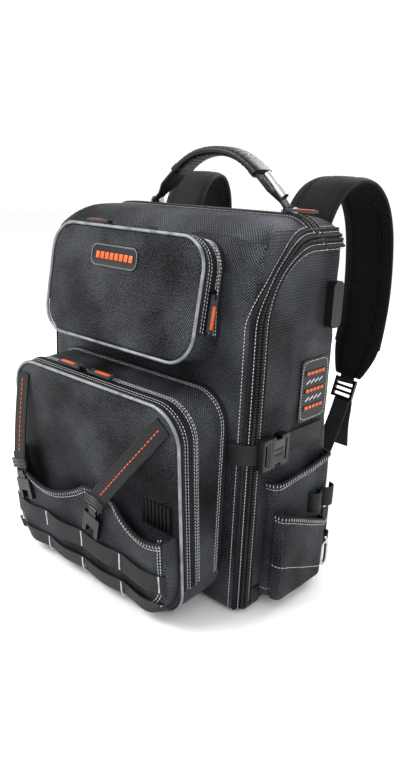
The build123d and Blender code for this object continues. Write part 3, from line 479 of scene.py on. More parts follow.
# ------------------------------------------------------------------ main zip
# A chunky number ten coil zip: two woven polyester tapes, a moulded coil along their inner
# edges, a bound edge outside each tape and two rows of pale contrast stitching.
def rubbery(name, colour, rough, grain, depth, light=None, gloss=0.3):
    """A moulded or coated surface: a fine grain, mm apart, and paler wear in broad patches at
    random.
    """
    made, tree, shader = new_material(name)
    place = add_node(tree, "ShaderNodeTexCoord").outputs["Object"]
    fine = add_node(tree, "ShaderNodeTexNoise", Vector=place, Scale=1 / (grain * MM), Detail=3.0)
    broad = add_node(tree, "ShaderNodeTexNoise", Vector=place, Scale=22.0, Detail=5.0)
    colours, stops = (colour, light or colour), (0.35, 0.75)
    shade, height = broad.outputs[0], fine.outputs[0]
    coat(tree, shader, shade, colours, stops, height, depth, 0.6, rough, gloss)
    return made


def thread(name, colour, dark, pitch=1.1):
    """Twisted sewing thread: a slanted twist pitch mm apart, its grooves painted dark as shade."""
    made, tree, shader = new_material(name)
    place = add_node(tree, "ShaderNodeTexCoord").outputs["Object"]
    turned = add_node(tree, "ShaderNodeMapping", Vector=place, Rotation=(0.5, 0.6, 0.4))
    twist = add_node(
        tree,
        "ShaderNodeTexWave",
        Vector=turned.outputs[0],
        Scale=0.32 / (pitch * MM),
        Distortion=1.5,
    )
    height = twist.outputs["Fac"]
    # painted shade: the colour follows the twist's height, dark in its grooves and pale on its
    # ridges
    coat(tree, shader, height, (dark, colour), (0, 1), height, 0.2, 0.7, 0.65)
    return made


# Zip tape: a flat woven polyester, duller and finer than the cloth. Its thread is drawn at
# 1.4 mm. The coil is nylon, moulded smooth, so it catches thin highlights.
# The tape's and the binding's thread crests are painted paler as a highlight.
tape_cloth = weave_with_painted_crests("polyester_zip_tape_woven", "#050506", "#26282c", 1.4, 0.2, 0.7, 0.78)
coil_nylon = rubbery("nylon_zip_coil_moulded", "#0b0c0e", 0.27, 0.8, 0.05, "#26282c")
binding_cloth = weave_with_painted_crests("grosgrain_binding_woven", "#060607", "#33353a", 1.5, 0.3, 0.6)
# The pale thread's grey is painted shade in the twist's grooves.
pale_thread = thread("bonded_nylon_thread_pale", "#e2e3e5", "#86888d")


def eased(points, rounds=3):
    """A smooth course through the runs between points, its two ends kept."""
    points = [Vector(p) for p in points]
    for _ in range(rounds):
        cut = [points[0]]
        for a, b in zip(points, points[1:]):
            cut += [a.lerp(b, 0.25), a.lerp(b, 0.75)]
        points = cut + [points[-1]]
    return points


def paced(course, pitch):
    """Even places along a course of (place, out) pairs: a list of (place, along, out)."""
    spots, left = [], pitch / 2
    for (a, out_a), (b, out_b) in zip(course, course[1:]):
        run = (b - a).length
        at = left
        while at < run:
            t = at / run
            spots.append((a.lerp(b, t), (b - a).normalized(), out_a.lerp(out_b, t).normalized()))
            at += pitch
        left = at - run
    return spots


def finish(piece, body, slot_name, *nodes):
    """Hands a piece over: its body and the CAD nodes it stands for. slot_name is not used."""
    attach(piece, body)
    if nodes:
        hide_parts(*nodes)
    return piece


def ribbon(name, one, other, thick, material, rows=2):
    """A strip of webbing or tape between two rails of equal count, patterned along its length."""
    count = len(one) - 1
    deselect()
    bpy.ops.mesh.primitive_grid_add(x_subdivisions=count, y_subdivisions=rows, size=1)
    made = bpy.context.object
    made.name = name
    gone, lengths = 0.0, [0.0]
    for a, b in zip(one, one[1:]):
        gone += (b - a).length
        lengths.append(gone)
    wide = (one[0] - other[0]).length
    steps = [(round((v.co.x + 0.5) * count), v.co.y + 0.5) for v in made.data.vertices]
    for vertex, (step, share) in zip(made.data.vertices, steps):
        vertex.co = one[step].lerp(other[step], share)
    cloth_map = made.data.uv_layers[0]
    for loop in made.data.loops:
        step, share = steps[loop.vertex_index]
        cloth_map.data[loop.index].uv = (lengths[step], share * wide)
    made.data.materials.append(material)
    modify(made, "SOLIDIFY", thickness=thick, offset=0, use_even_offset=True)
    modify(
        made, "BEVEL", width=min(0.5 * MM, thick * 0.3), segments=2, limit_method="ANGLE",
        angle_limit=math.radians(60),
    )
    smooth(made, 35)
    return made


def row_of(name, spots, size, material, turn=0.0):
    """One bead of a given length, width and height, copied to each (place, along, out)."""
    deselect()
    bpy.ops.mesh.primitive_cube_add(size=1)
    bead = bpy.context.object
    bead.scale = size
    bpy.ops.object.transform_apply(location=True, rotation=True, scale=True)
    modify(bead, "BEVEL", width=min(size) * 0.3, segments=1)
    corners = [v.co.copy() for v in bead.data.vertices]
    sides = [tuple(p.vertices) for p in bead.data.polygons]
    bpy.data.objects.remove(bead)
    places, faces = [], []
    for place, line, out in spots:
        across = out.cross(line).normalized()
        line = across.cross(out).normalized()
        if turn:
            line, across = (
                line * math.cos(turn) + across * math.sin(turn),
                across * math.cos(turn) - line * math.sin(turn),
            )
        start = len(places)
        places += [place + line * c.x + across * c.y + out * c.z for c in corners]
        faces += [tuple(start + i for i in side) for side in sides]
    mesh = bpy.data.meshes.new(name)
    mesh.from_pydata(places, [], faces)
    mesh.update()
    made = bpy.data.objects.new(name, mesh)
    bpy.context.scene.collection.objects.link(made)
    made.data.materials.append(material)
    smooth(made, 50)
    return made


def seal(piece, capped=True):
    """Joins the long seam of a tube, turns its faces outward and caps its ends."""
    edit(
        piece,
        lambda vertex: True,
        "VERT",
        lambda: (
            bpy.ops.mesh.remove_doubles(threshold=1e-5),
            bpy.ops.mesh.normals_make_consistent(inside=False),
        ),
    )
    if capped:
        edit(piece, lambda e: e.is_boundary, "EDGE", lambda: bpy.ops.mesh.fill_holes(sides=0))


def piping(name, course, radius, material, closed=False, sides=8, flat=1.0):
    """A filled tube along a course of (place, out) pairs."""
    deselect()
    count = len(course) - (0 if closed else 1)
    bpy.ops.mesh.primitive_grid_add(x_subdivisions=count, y_subdivisions=sides, size=1)
    made = bpy.context.object
    made.name = name
    last = len(course) - 1
    cloth_map = made.data.uv_layers[0]
    lengths = [0.0]
    for i in range(count):
        lengths.append(lengths[-1] + (course[(i + 1) % len(course)][0] - course[i][0]).length)
    steps = [
        (round((v.co.x + 0.5) * count), round((v.co.y + 0.5) * sides)) for v in made.data.vertices
    ]
    frames = []
    for i, (place, out) in enumerate(course):
        if closed:
            line = (course[(i + 1) % len(course)][0] - course[i - 1][0]).normalized()
        else:
            line = (course[min(i + 1, last)][0] - course[max(i - 1, 0)][0]).normalized()
        across = out.cross(line).normalized()
        frames.append((place, across, line.cross(across).normalized()))
    for vertex, (step, side) in zip(made.data.vertices, steps):
        place, across, out = frames[step % len(frames)]
        angle = 2 * math.pi * side / sides
        vertex.co = place + radius * (across * math.cos(angle) + out * math.sin(angle) * flat)
    for loop in made.data.loops:
        step, side = steps[loop.vertex_index]
        cloth_map.data[loop.index].uv = (lengths[step], 2 * math.pi * radius * side / sides)
    made.data.materials.append(material)
    seal(made, not closed)
    smooth(made, 60)
    return made


def side_x(y, z):
    """Half the pack's width at a depth and height, where its corners and top edges round."""
    wide = half
    corner = front_y + 22 * MM
    if y < corner:
        wide = half - 22 * MM + math.sqrt(max(0, (22 * MM) ** 2 - (corner - y) ** 2))
    shoulder = top_z - 45 * MM
    if z > shoulder:
        reach = min(45 * MM, z - shoulder)
        wide = min(wide, half - 45 * MM + math.sqrt((45 * MM) ** 2 - reach**2))
    if z < 10 * MM:
        wide = min(wide, half - 10 * MM + math.sqrt((10 * MM) ** 2 - (10 * MM - z) ** 2))
    return wide


def side_out(x, y, z):
    """The wall's outward direction at a place on a side."""
    sign = 1 if x > 0 else -1
    if z > top_z - 45 * MM:
        return Vector((x - sign * (half - 45 * MM), 0, z - top_z + 45 * MM)).normalized()
    if y < front_y + 22 * MM:
        return Vector((x - sign * (half - 22 * MM), y - front_y - 22 * MM, 0)).normalized()
    return Vector((sign, 0, 0))


def zip_side(off, sign, lift=0.0):
    """The main zip's course up one side, off ahead of its middle line."""
    course = []
    bend_y, bend_z = zip_y + zip_bend, zip_top - zip_bend
    reach = zip_bend + off
    flat = [(bend_y - reach, 5 * MM + (bend_z - 5 * MM) * i / 40) for i in range(41)]
    for i in range(1, 33):
        angle = math.pi - math.pi / 2 * i / 32
        flat.append((bend_y + reach * math.cos(angle), bend_z + reach * math.sin(angle)))
    flat += [(bend_y + (cross_y - off - bend_y) * i / 4, bend_z + reach) for i in (1, 2, 3, 4)]
    for y, z in flat:
        x = sign * side_x(y, z)
        out = side_out(x, y, z)
        course.append((Vector((x, y, z)) + out * lift, out))
    return course


def zip_over(off, lift=0.0):
    """Its course over the top, from right to left."""
    course = []
    start = math.asin((zip_top + off - top_z + 45 * MM) / (45 * MM))
    turn = [start + (math.pi / 2 - start) * i / 10 for i in range(11)]
    middle = half - 45 * MM
    for angle in turn:
        out = Vector((math.cos(angle), 0, math.sin(angle)))
        course.append((Vector((middle, cross_y - off, top_z - 45 * MM)) + out * 45 * MM, out))
    up = Vector((0, 0, 1))
    for i in range(1, 60):
        course.append((Vector((middle - 2 * middle * i / 60, cross_y - off, top_z)), up))
    for place, out in reversed(course[:11]):
        course.append((Vector((-place.x, place.y, place.z)), Vector((-out.x, 0, out.z))))
    return [(place + out * lift, out) for place, out in course]


def join(name, parts):
    """Several pieces joined in one."""
    deselect()
    for part in parts:
        part.select_set(True)
    bpy.context.view_layer.objects.active = parts[0]
    bpy.ops.object.join()
    made = bpy.context.object
    made.name = name
    return made


def rail(course):
    """The places of a course without their outward directions."""
    return [place for place, _ in course]


def zip_end(off, sign, lift=0.0):
    """The free end's course, from the top corner back along the side's top edge."""
    course = []
    for i in range(13):
        y, z = (24 + 56 * i / 12) * MM, zip_top + off
        x = sign * side_x(y, z)
        out = side_out(x, y, z)
        course.append((Vector((x, y, z)) + out * lift, out))
    return course


# The stitches' even step, and the length, width and height of a plain and a bold stitch.
stitch_step = 4.2 * MM
stitch = (2.7 * MM, 0.75 * MM, 0.6 * MM)
bold_stitch = (2.7 * MM, 0.8 * MM, 0.6 * MM)
tape_thick = 1.2 * MM


def zip_run(run, way, lift, parts):
    """Adds one run of a zip half to its parts; way is 1 ahead of the zip's middle line."""
    tapes, coils, edges, seams = parts
    near, far = way * 0.3 * MM, way * 9.5 * MM
    one, other = (rail(run(off, (0.9 + lift) * MM)) for off in (near, far))
    tapes.append(ribbon("tape", one, other, tape_thick, tape_cloth))
    coils += paced(run(way * 2.3 * MM, (2.0 + lift) * MM), 3.3 * MM)
    edges.append(piping("edge", run(far, (1.2 + lift) * MM), 1.9 * MM, binding_cloth))
    for off, proud in ((6.2, 1.7), (12.8, 0.7)):
        seams += paced(run(way * off * MM, (proud + lift) * MM), stitch_step)


for half_name, half_way, body in (("rear", -1, "pack"), ("front", 1, "lid")):
    parts = tapes, coils, edges, seams = [], [], [], []
    for side in (1, -1):
        zip_run(lambda off, lift, side=side: zip_side(off, side, lift), half_way, 0, parts)
    zip_run(zip_over, half_way, 0, parts)
    if half_name == "rear":
        for side in (1, -1):
            for way in (1, -1):
                zip_run(lambda off, lift, side=side: zip_end(off, side, lift), way, 0.1, parts)
    tape_piece = join(f"main_zip_tape_{half_name}", tapes)
    finish(tape_piece, body, "zip_tape", f"main_zip_{half_name}")
    coil_bead = (2.0 * MM, 4.0 * MM, 2.6 * MM)
    coil = row_of(f"main_zip_coil_{half_name}", coils, coil_bead, coil_nylon, 0.14)
    finish(coil, body, "zip_tape")
    finish(join(f"main_zip_edge_{half_name}", edges), body, "nylon_webbing")
    sewing = row_of(f"main_zip_stitching_{half_name}", seams, stitch, pale_thread)
    finish(sewing, body, "nylon_webbing")


# ------------------------------------------------------------------ front pockets
# Two box pockets of the same cloth. Each has a padded door edged with silver reflective
# piping, a return behind it, a coil zip round three sides and a gusset sewn to the lid.
silver, silver_tree, silver_shader = new_material("reflective_piping_glass_bead")
silver_place = add_node(silver_tree, "ShaderNodeTexCoord").outputs["Object"]
bead = add_node(silver_tree, "ShaderNodeTexVoronoi", Vector=silver_place, Scale=1500.0)
scuff = add_node(silver_tree, "ShaderNodeTexNoise", Vector=silver_place, Scale=60.0, Detail=6.0)
greys, height = ("#55585c", "#85888c"), bead.outputs["Distance"]
coat(silver_tree, silver_shader, scuff.outputs[0], greys, (0.3, 0.62), height, 0.1, 0.4, 0.42)
silver_shader.inputs["Metallic"].default_value = 0.35


def leaning(foot_y, foot_z, lean):
    """The place of a pocket's face: x across, y up the face, z out of the pack."""
    tilt = math.radians(lean)
    up = Vector((0, math.sin(tilt), math.cos(tilt)))
    out = Vector((0, -math.cos(tilt), math.sin(tilt)))
    stand = Matrix(((1, up.x, out.x), (0, up.y, out.y), (0, up.z, out.z))).to_4x4()
    stand.translation = Vector((0, foot_y * MM, foot_z * MM))
    return stand


def outline(size, grow, depth, stand, closed=False, start=None):
    """A pocket's outline as (place, out) pairs, depth behind its face, in mm, from low left."""
    wide, high, corner = size
    side, top, low, turn = wide / 2 + grow, high + grow, -grow, corner + grow
    flat = []

    def arc(x, y, first, steps=14):
        for i in range(steps + 1):
            angle = math.radians(first - 90 * i / steps)
            out = (math.cos(angle), math.sin(angle))
            flat.append((x + turn * out[0], y + turn * out[1], *out))

    def run(a, b, out, pitch=6):
        steps = max(2, round(math.dist(a, b) / pitch))
        for i in range(1, steps):
            flat.append((a[0] + (b[0] - a[0]) * i / steps, a[1] + (b[1] - a[1]) * i / steps, *out))

    begin = start if start is not None else low + turn
    flat.append((-side, begin, -1, 0))
    run((-side, begin), (-side, top - turn), (-1, 0))
    arc(-side + turn, top - turn, 180)
    run((-side + turn, top), (side - turn, top), (0, 1))
    arc(side - turn, top - turn, 90)
    run((side, top - turn), (side, begin), (1, 0))
    flat.append((side, begin, 1, 0))
    if closed:
        arc(side - turn, low + turn, 0)
        run((side - turn, low), (-side + turn, low), (0, -1))
        arc(-side + turn, low + turn, -90)
    course = []
    for x, y, out_x, out_y in flat:
        place = stand @ Vector((x * MM, y * MM, -depth * MM))
        course.append((place, (stand.to_3x3() @ Vector((out_x, out_y, 0))).normalized()))
    return course


pockets = {
    "upper": (leaning(-137, 314, 9.0), (268, 142, 36), 4.0),
    "lower": (leaning(-151, 6, -4.6), (308, 268, 42), 5.0),
}
for pocket_name, (stand, size, crown) in pockets.items():
    wide, high, corner = size
    zip_foot = corner + 2
    body = f"{pocket_name}_door_body"
    turn_out = stand.to_3x3()

    # the pocket's whole box, swollen, then parted behind its face
    box = block("box", (-wide / 2 * MM, 0, -96 * MM), (wide / 2 * MM, high * MM, 0))
    round_edges(box, along(2), corner * MM, 12)
    round_edges(box, lambda e: all(v.co.z > -1e-5 for v in e.verts), 3.5 * MM, 3)
    modify(box, "REMESH", mode="VOXEL", voxel_size=3.2 * MM)
    modify(box, "SMOOTH", factor=0.5, iterations=3)
    for vertex in box.data.vertices:
        x, y, z = vertex.co
        across, rise = x / (wide / 2 * MM), (y / (high / 2 * MM)) - 1
        face = min(1, max(0, (z + 6 * MM) / (6 * MM)))
        dome = max(0, 1 - abs(across) ** 2.6) * max(0, 1 - abs(rise) ** 2.6)
        ripple = math.sin(x * 41 + y * 23) * math.sin(y * 37 - x * 13)
        vertex.co.z += face * dome * (crown + 0.7 * ripple) * MM
    box.data.materials.append(ballistic)
    box.data.materials.append(lining)
    door = copy_of(box, f"{pocket_name}_door_cloth")
    foot = (-0.3, -0.1, -0.2)
    for end in ((0.3, 0.6, -13.8 * MM), (0.3, zip_foot * MM, -3 * MM)):
        carve(door, block("cutter", foot, end), "DIFFERENCE")
    drop_faces(door, lambda face: face.material_index == 1)
    modify(door, "SOLIDIFY", thickness=2.6 * MM, offset=-1, material_offset=1)
    door.data.transform(stand)
    map_cloth(door)
    smooth(door, 50)
    finish(door, body, "ballistic_nylon", f"{pocket_name}_door")

    gusset = box
    gusset.name = f"{pocket_name}_gusset_cloth"
    for start in ((-0.3, (zip_foot - 0.3) * MM, -22.2 * MM), (-0.3, -0.1, -3.3 * MM)):
        carve(gusset, block("cutter", start, (0.3, 0.6, 0.1)), "DIFFERENCE")
    gusset.data.transform(stand)
    carve(gusset, copy_of(core, "cutter"), "DIFFERENCE", "EXACT")
    drop_faces(gusset, lambda face: face.material_index == 1)
    modify(gusset, "SOLIDIFY", thickness=2.6 * MM, offset=-1, material_offset=1)
    map_cloth(gusset)
    smooth(gusset, 50)
    finish(gusset, "lid", "ballistic_nylon", f"{pocket_name}_gusset")

    # the seam that joins the gusset to the lid: a bound edge and two rows of stitching
    def at_the_lid(proud, ahead):
        """The pocket's outline carried back to ahead mm in front of the lid's cloth."""
        inward = -(turn_out @ Vector((0, 0, 1)))
        course = []
        for place, way in outline(size, proud, 0, stand):
            spot = place
            for _ in range(6):
                over = max(0, min(front_bend, spot.z - (top_z - front_bend)))
                wall_y = front_y + front_bend - math.sqrt(front_bend**2 - over**2)
                spot = spot + inward * ((wall_y - ahead * MM - spot.y) / inward.y)
            course.append((spot, way))
        return course

    trim = piping(f"{pocket_name}_base_binding", at_the_lid(0.4, 2.2), 2.0 * MM, binding_cloth)
    finish(trim, "lid", "nylon_webbing")
    base_rows = [spot for off in (7.0, 10.6) for spot in paced(at_the_lid(0.4, off), stitch_step)]
    sewing = row_of(f"{pocket_name}_base_stitching", base_rows, bold_stitch, pale_thread)
    finish(sewing, "lid", "nylon_webbing")

    # silver piping in the seam round the face, with its sewn flange
    edge = outline(size, 0.4, 0.4, stand, closed=True)
    trim = piping(f"{pocket_name}_silver_piping", edge, 2.0 * MM, silver, closed=True, sides=10)
    finish(trim, body, "reflective_piping", f"{pocket_name}_piping")
    binding = outline(size, 0.6, 4.6, stand, start=zip_foot)
    trim = piping(f"{pocket_name}_return_binding", binding, 1.5 * MM, binding_cloth)
    finish(trim, body, "nylon_webbing")

    # the coil zip: each half's tape edges, coil and (depth, lift) of its rows of stitching
    for half_name, rider, near, far, coil_depth, rows in (
        ("front", body, 17.85, 12.6, 16.5, ((12.9, 1.5), (9.8, 0.5))),
        ("rear", "lid", 18.15, 23.4, 19.5, ((23.1, 1.5), (27.5, 0.5), (30.0, 0.5))),
    ):
        one, other = (rail(outline(size, 0.7, d, stand, start=zip_foot)) for d in (near, far))
        name = f"{pocket_name}_zip_tape_{half_name}"
        tape_piece = ribbon(name, one, other, tape_thick, tape_cloth)
        finish(tape_piece, rider, "zip_tape", f"{pocket_name}_zip_{half_name}")
        coil_spots = paced(outline(size, 1.7, coil_depth, stand, start=zip_foot), 2.6 * MM)
        coil_bead = (1.6 * MM, 2.6 * MM, 1.9 * MM)
        name = f"{pocket_name}_zip_coil_{half_name}"
        finish(row_of(name, coil_spots, coil_bead, coil_nylon, 0.12), rider, "zip_tape")
        seams = []
        for depth, lift in rows:
            seams += paced(outline(size, lift, depth, stand, start=zip_foot), stitch_step)
        name = f"{pocket_name}_zip_stitching_{half_name}"
        finish(row_of(name, seams, stitch, pale_thread), rider, "nylon_webbing")


# ------------------------------------------------------------------ badge
# A moulded soft rubber plate with a raised rim, sewn to the upper pocket's face. It carries
# plain raised bars.
badge_rubber = rubbery("soft_rubber_badge_moulded", "#08090a", 0.5, 0.7, 0.12, "#17181a")
rim_rubber = rubbery("soft_rubber_rim_grey", "#4a4c50", 0.5, 0.7, 0.1, "#64666a")
orange_rubber = rubbery("soft_rubber_orange", "#c8501c", 0.5, 0.6, 0.1, "#dd6a30")
upper_stand = pockets["upper"][0]
lower_stand = pockets["lower"][0]
badge_plate = block("badge_plate", (-49 * MM, 93.5 * MM, 1.6 * MM), (35 * MM, 120.5 * MM, 5.4 * MM))
round_edges(badge_plate, along(2), 10 * MM, 6)
edit(
    badge_plate,
    lambda face: face.normal.z > 0.9,
    "FACE",
    lambda: (
        bpy.ops.mesh.inset(thickness=1.8 * MM),
        bpy.ops.mesh.extrude_region_move(TRANSFORM_OT_translate={"value": (0, 0, -0.9 * MM)}),
    ),
)
badge_plate.data.materials.append(badge_rubber)
badge_plate.data.materials.append(rim_rubber)
for polygon in badge_plate.data.polygons:
    middle = polygon.center
    if middle.z > 5.3 * MM or (middle.z > 4.6 * MM and abs(polygon.normal.z) < 0.5):
        polygon.material_index = 1
modify(badge_plate, "BEVEL", width=0.4 * MM, segments=2, limit_method="ANGLE")
badge_plate.data.transform(upper_stand)
smooth(badge_plate, 40)
finish(badge_plate, "upper_door_body", "moulded_rubber", "badge")
bar_spots = []
for x in (-36, -27.5, -19, -10.5, -2, 6.5, 15, 23.5):
    place = upper_stand @ Vector((x * MM, 107 * MM, 4.9 * MM))
    bar_spots.append((place, Vector((1, 0, 0)), upper_stand.to_3x3() @ Vector((0, 0, 1))))
badge_bars = row_of("badge_bars", bar_spots, (6.4 * MM, 8.5 * MM, 1.0 * MM), orange_rubber)
finish(badge_bars, "upper_door_body", "moulded_rubber")


# ------------------------------------------------------------------ front pouch
# An open pouch of the same cloth on the lower door, bellied out, with two scalloped mouths
# bound in grosgrain and a tab between them that the front straps come down to.
def mouth(x):
    """Height of the pouch's mouth at x, in mm."""
    if x <= 8:
        return 110 + 28 * ((x + 71) / 79) ** 2
    if x <= 60:
        return 138
    return 138 - 0.9587 * (x - 60) + 0.00812 * (x - 60) ** 2


pouch = block("pouch_cloth", (-150 * MM, 12 * MM, 0), (150 * MM, 175 * MM, 22 * MM))
round_edges(pouch, along(2, lambda m: m.y < 0.05), 38 * MM, 10)
round_edges(
    pouch,
    lambda e: all(v.co.z > 21.9 * MM for v in e.verts) and min(v.co.y for v in e.verts) < 0.17,
    9 * MM,
    5,
)
modify(pouch, "REMESH", mode="VOXEL", voxel_size=3 * MM)
modify(pouch, "SMOOTH", factor=0.5, iterations=4)
for vertex in pouch.data.vertices:
    x, y, z = (c / MM for c in vertex.co)
    high = min(1, max(0, (y - 55) / 75)) ** 1.4
    gape = 9 * math.exp(-(((x + 74) / 46) ** 2)) + 4.5 * math.exp(-(((x - 112) / 30) ** 2))
    tuck = 5.0 * math.exp(-(((x - 34) / 30) ** 2)) * high
    share = min(1, max(0, z / 20))
    ripple = 0.8 * math.sin(x * 0.075 + y * 0.05) * math.sin(y * 0.06 - x * 0.03)
    vertex.co.z += share * (high * gape - tuck + ripple) * MM
    vertex.co.y -= share * 0.02 * gape * high * MM
deselect()
bpy.ops.mesh.primitive_grid_add(x_subdivisions=90, y_subdivisions=1, size=1)
tool = bpy.context.object
for vertex in tool.data.vertices:
    x = vertex.co.x * 330
    vertex.co = Vector((x, mouth(max(-150, min(150, x))) if vertex.co.y < 0 else 260, -30)) * MM
edit(
    tool,
    lambda face: True,
    "FACE",
    lambda: (
        bpy.ops.mesh.extrude_region_move(TRANSFORM_OT_translate={"value": (0, 0, 90 * MM)}),
        bpy.ops.mesh.select_all(action="SELECT"),
        bpy.ops.mesh.normals_make_consistent(inside=False),
    ),
)
pouch.data.materials.append(ballistic)
pouch.data.materials.append(ballistic)
carve(pouch, tool, "DIFFERENCE")
carve(pouch, block("t", (-0.3, -0.1, -0.1), (0.3, 0.4, 0.8 * MM)), "DIFFERENCE")
drop_faces(pouch, lambda face: face.material_index == 1)
pouch.data.transform(lower_stand)
depsgraph = bpy.context.evaluated_depsgraph_get()
pouch_skin = BVHTree.FromObject(pouch, depsgraph)
modify(pouch, "SOLIDIFY", thickness=2.2 * MM, offset=-1)
map_cloth(pouch)
smooth(pouch, 50)
finish(pouch, "lower_door_body", "ballistic_nylon", "pouch")
low_turn = lower_stand.to_3x3()
low_out = low_turn @ Vector((0, 0, 1))
low_up = low_turn @ Vector((0, 1, 0))


def on_pouch(x, y, lift):
    """The (place, out) on the pouch in front of a point of the lower face, in mm."""
    start = lower_stand @ Vector((x * MM, y * MM, 90 * MM))
    hit, out, _, _ = pouch_skin.ray_cast(start, -low_out)
    if hit is None:
        return lower_stand @ Vector((x * MM, y * MM, (20 + lift) * MM)), low_out
    if out.dot(low_out) < 0:
        out = -out
    return hit + out * lift * MM, out


lip = [on_pouch(x, mouth(x) - 1.2, -1.0) for x in range(-147, 149, 4)]
trim = piping("pouch_mouth_binding", lip, 2.9 * MM, binding_cloth, sides=10)
finish(trim, "lower_door_body", "nylon_webbing")
ladder = paced([on_pouch(x, mouth(x) - 2.5, 1.6) for x in range(-145, 147, 4)], 4.6 * MM)
hem = paced([on_pouch(x, mouth(x) - 7.5, 0.3) for x in range(-145, 147, 4)], stitch_step)
foot_line = []
for shrink in (7, 10.5):
    flat = [(-150 + shrink, 120 - 8 * i) for i in range(9)]
    reach = 38 - shrink + 6
    for angle in (math.radians(degrees) for degrees in range(0, 91, 9)):
        x = -150 + shrink + reach - reach * math.cos(angle)
        flat.append((x, 12 + shrink + reach - reach * math.sin(angle)))
    flat += [(x, 12 + shrink) for x in range(-90, 1, 6)]
    flat += [(-x, y) for x, y in reversed(flat[:-1])]
    foot_line += paced([on_pouch(x, y, 0.3) for x, y in flat], stitch_step)
cross_stitch = (0.75 * MM, 3.4 * MM, 0.6 * MM)
sewing = [
    row_of("hem", hem + foot_line, bold_stitch, pale_thread),
    row_of("ladder", ladder, cross_stitch, pale_thread),
]
finish(join("pouch_stitching", sewing), "lower_door_body", "nylon_webbing")
ribs = [
    (lower_stand @ Vector((x * MM, 134 * MM, 3.2 * MM)), Vector((1, 0, 0)), low_out)
    for x in (97, 103, 109, 115, 121, 127, 133, 139)
]
elastic = row_of("pouch_elastic_ribs", ribs, (4.2 * MM, 34 * MM, 3.4 * MM), binding_cloth)
finish(elastic, "lower_door_body", "nylon_webbing")


# ------------------------------------------------------------------ webbing rows
# Two rows of 25 mm nylon webbing, tacked to the pouch every 74 mm with a bar of dense pale
# stitching. The webbing between two tacks is slack and hangs a little.
def webbing(name, dark, light, rib):
    """Woven strap: ribs run across it, rib mm apart, on its UV map's length, their crests painted
    pale as a highlight.
    """
    made, tree, shader = new_material(name)
    uv = add_node(tree, "ShaderNodeUVMap").outputs[0]
    along_it, across_it = ridges(tree, uv, 0, rib * MM), ridges(tree, uv, 1, rib * 0.7 * MM)
    height = maths(tree, "MULTIPLY", along_it, across_it)
    sheen_patches = add_node(tree, "ShaderNodeTexNoise", Vector=uv, Scale=40.0, Detail=4.0).outputs[0]
    # painted highlight: the rib crests are coloured pale, in random patches
    shade = maths(tree, "MULTIPLY", height, sheen_patches)
    coat(tree, shader, shade, (dark, light), (0, 0.6), height, 0.35, 0.8, 0.5, 0.22)
    return made


# Nylon webbing shines a little along its ribs; that shine is painted pale on the rib crests,
# in random patches. Its ribs are drawn at 1.8 mm.
black_webbing = webbing("nylon_webbing_ribbed", "#040505", "#26282b", 1.8)


def strip(name, course, one, other, thick=2):
    """Webbing along a course of places, between two offsets from it; thick is in mm."""
    rails = [[place + offset for place in course] for offset in (one, other)]
    return ribbon(name, *rails, thick * MM, black_webbing, 4)


rows, tacks = [], []
for row_foot in (10, 49):
    rails_of = ([], [])
    for i in range(-35, 36):
        x = i * 4.2
        slack = abs(math.sin(math.pi * x / 74)) if abs(x) < 142 else 0
        for course, y in zip(rails_of, (row_foot, row_foot + 25)):
            place, out = on_pouch(x, max(y, 14.5 + 0.0016 * max(0, abs(x) - 112) ** 2.6), 1.7)
            course.append(place + low_out * 2.6 * slack * MM - low_up * 2.6 * slack**2 * MM)
    rows.append(ribbon("row", rails_of[1], rails_of[0], 1.8 * MM, black_webbing, rows=4))
    for x in (-141, -74, 0, 74, 141):
        foot = max(row_foot + 1.5, 30) if abs(x) > 100 else row_foot + 1.5
        column = [on_pouch(x, foot + (row_foot + 23.6 - foot) * k / 13, 3.0) for k in range(14)]
        tacks += paced(column, 1.5 * MM)
finish(join("webbing_rows", rows), "lower_door_body", "nylon_webbing", "molle_rows")
bartacks = row_of("webbing_row_bartacks", tacks, (1.1 * MM, 2.4 * MM, 0.9 * MM), pale_thread, 0.3)
finish(bartacks, "lower_door_body", "nylon_webbing")
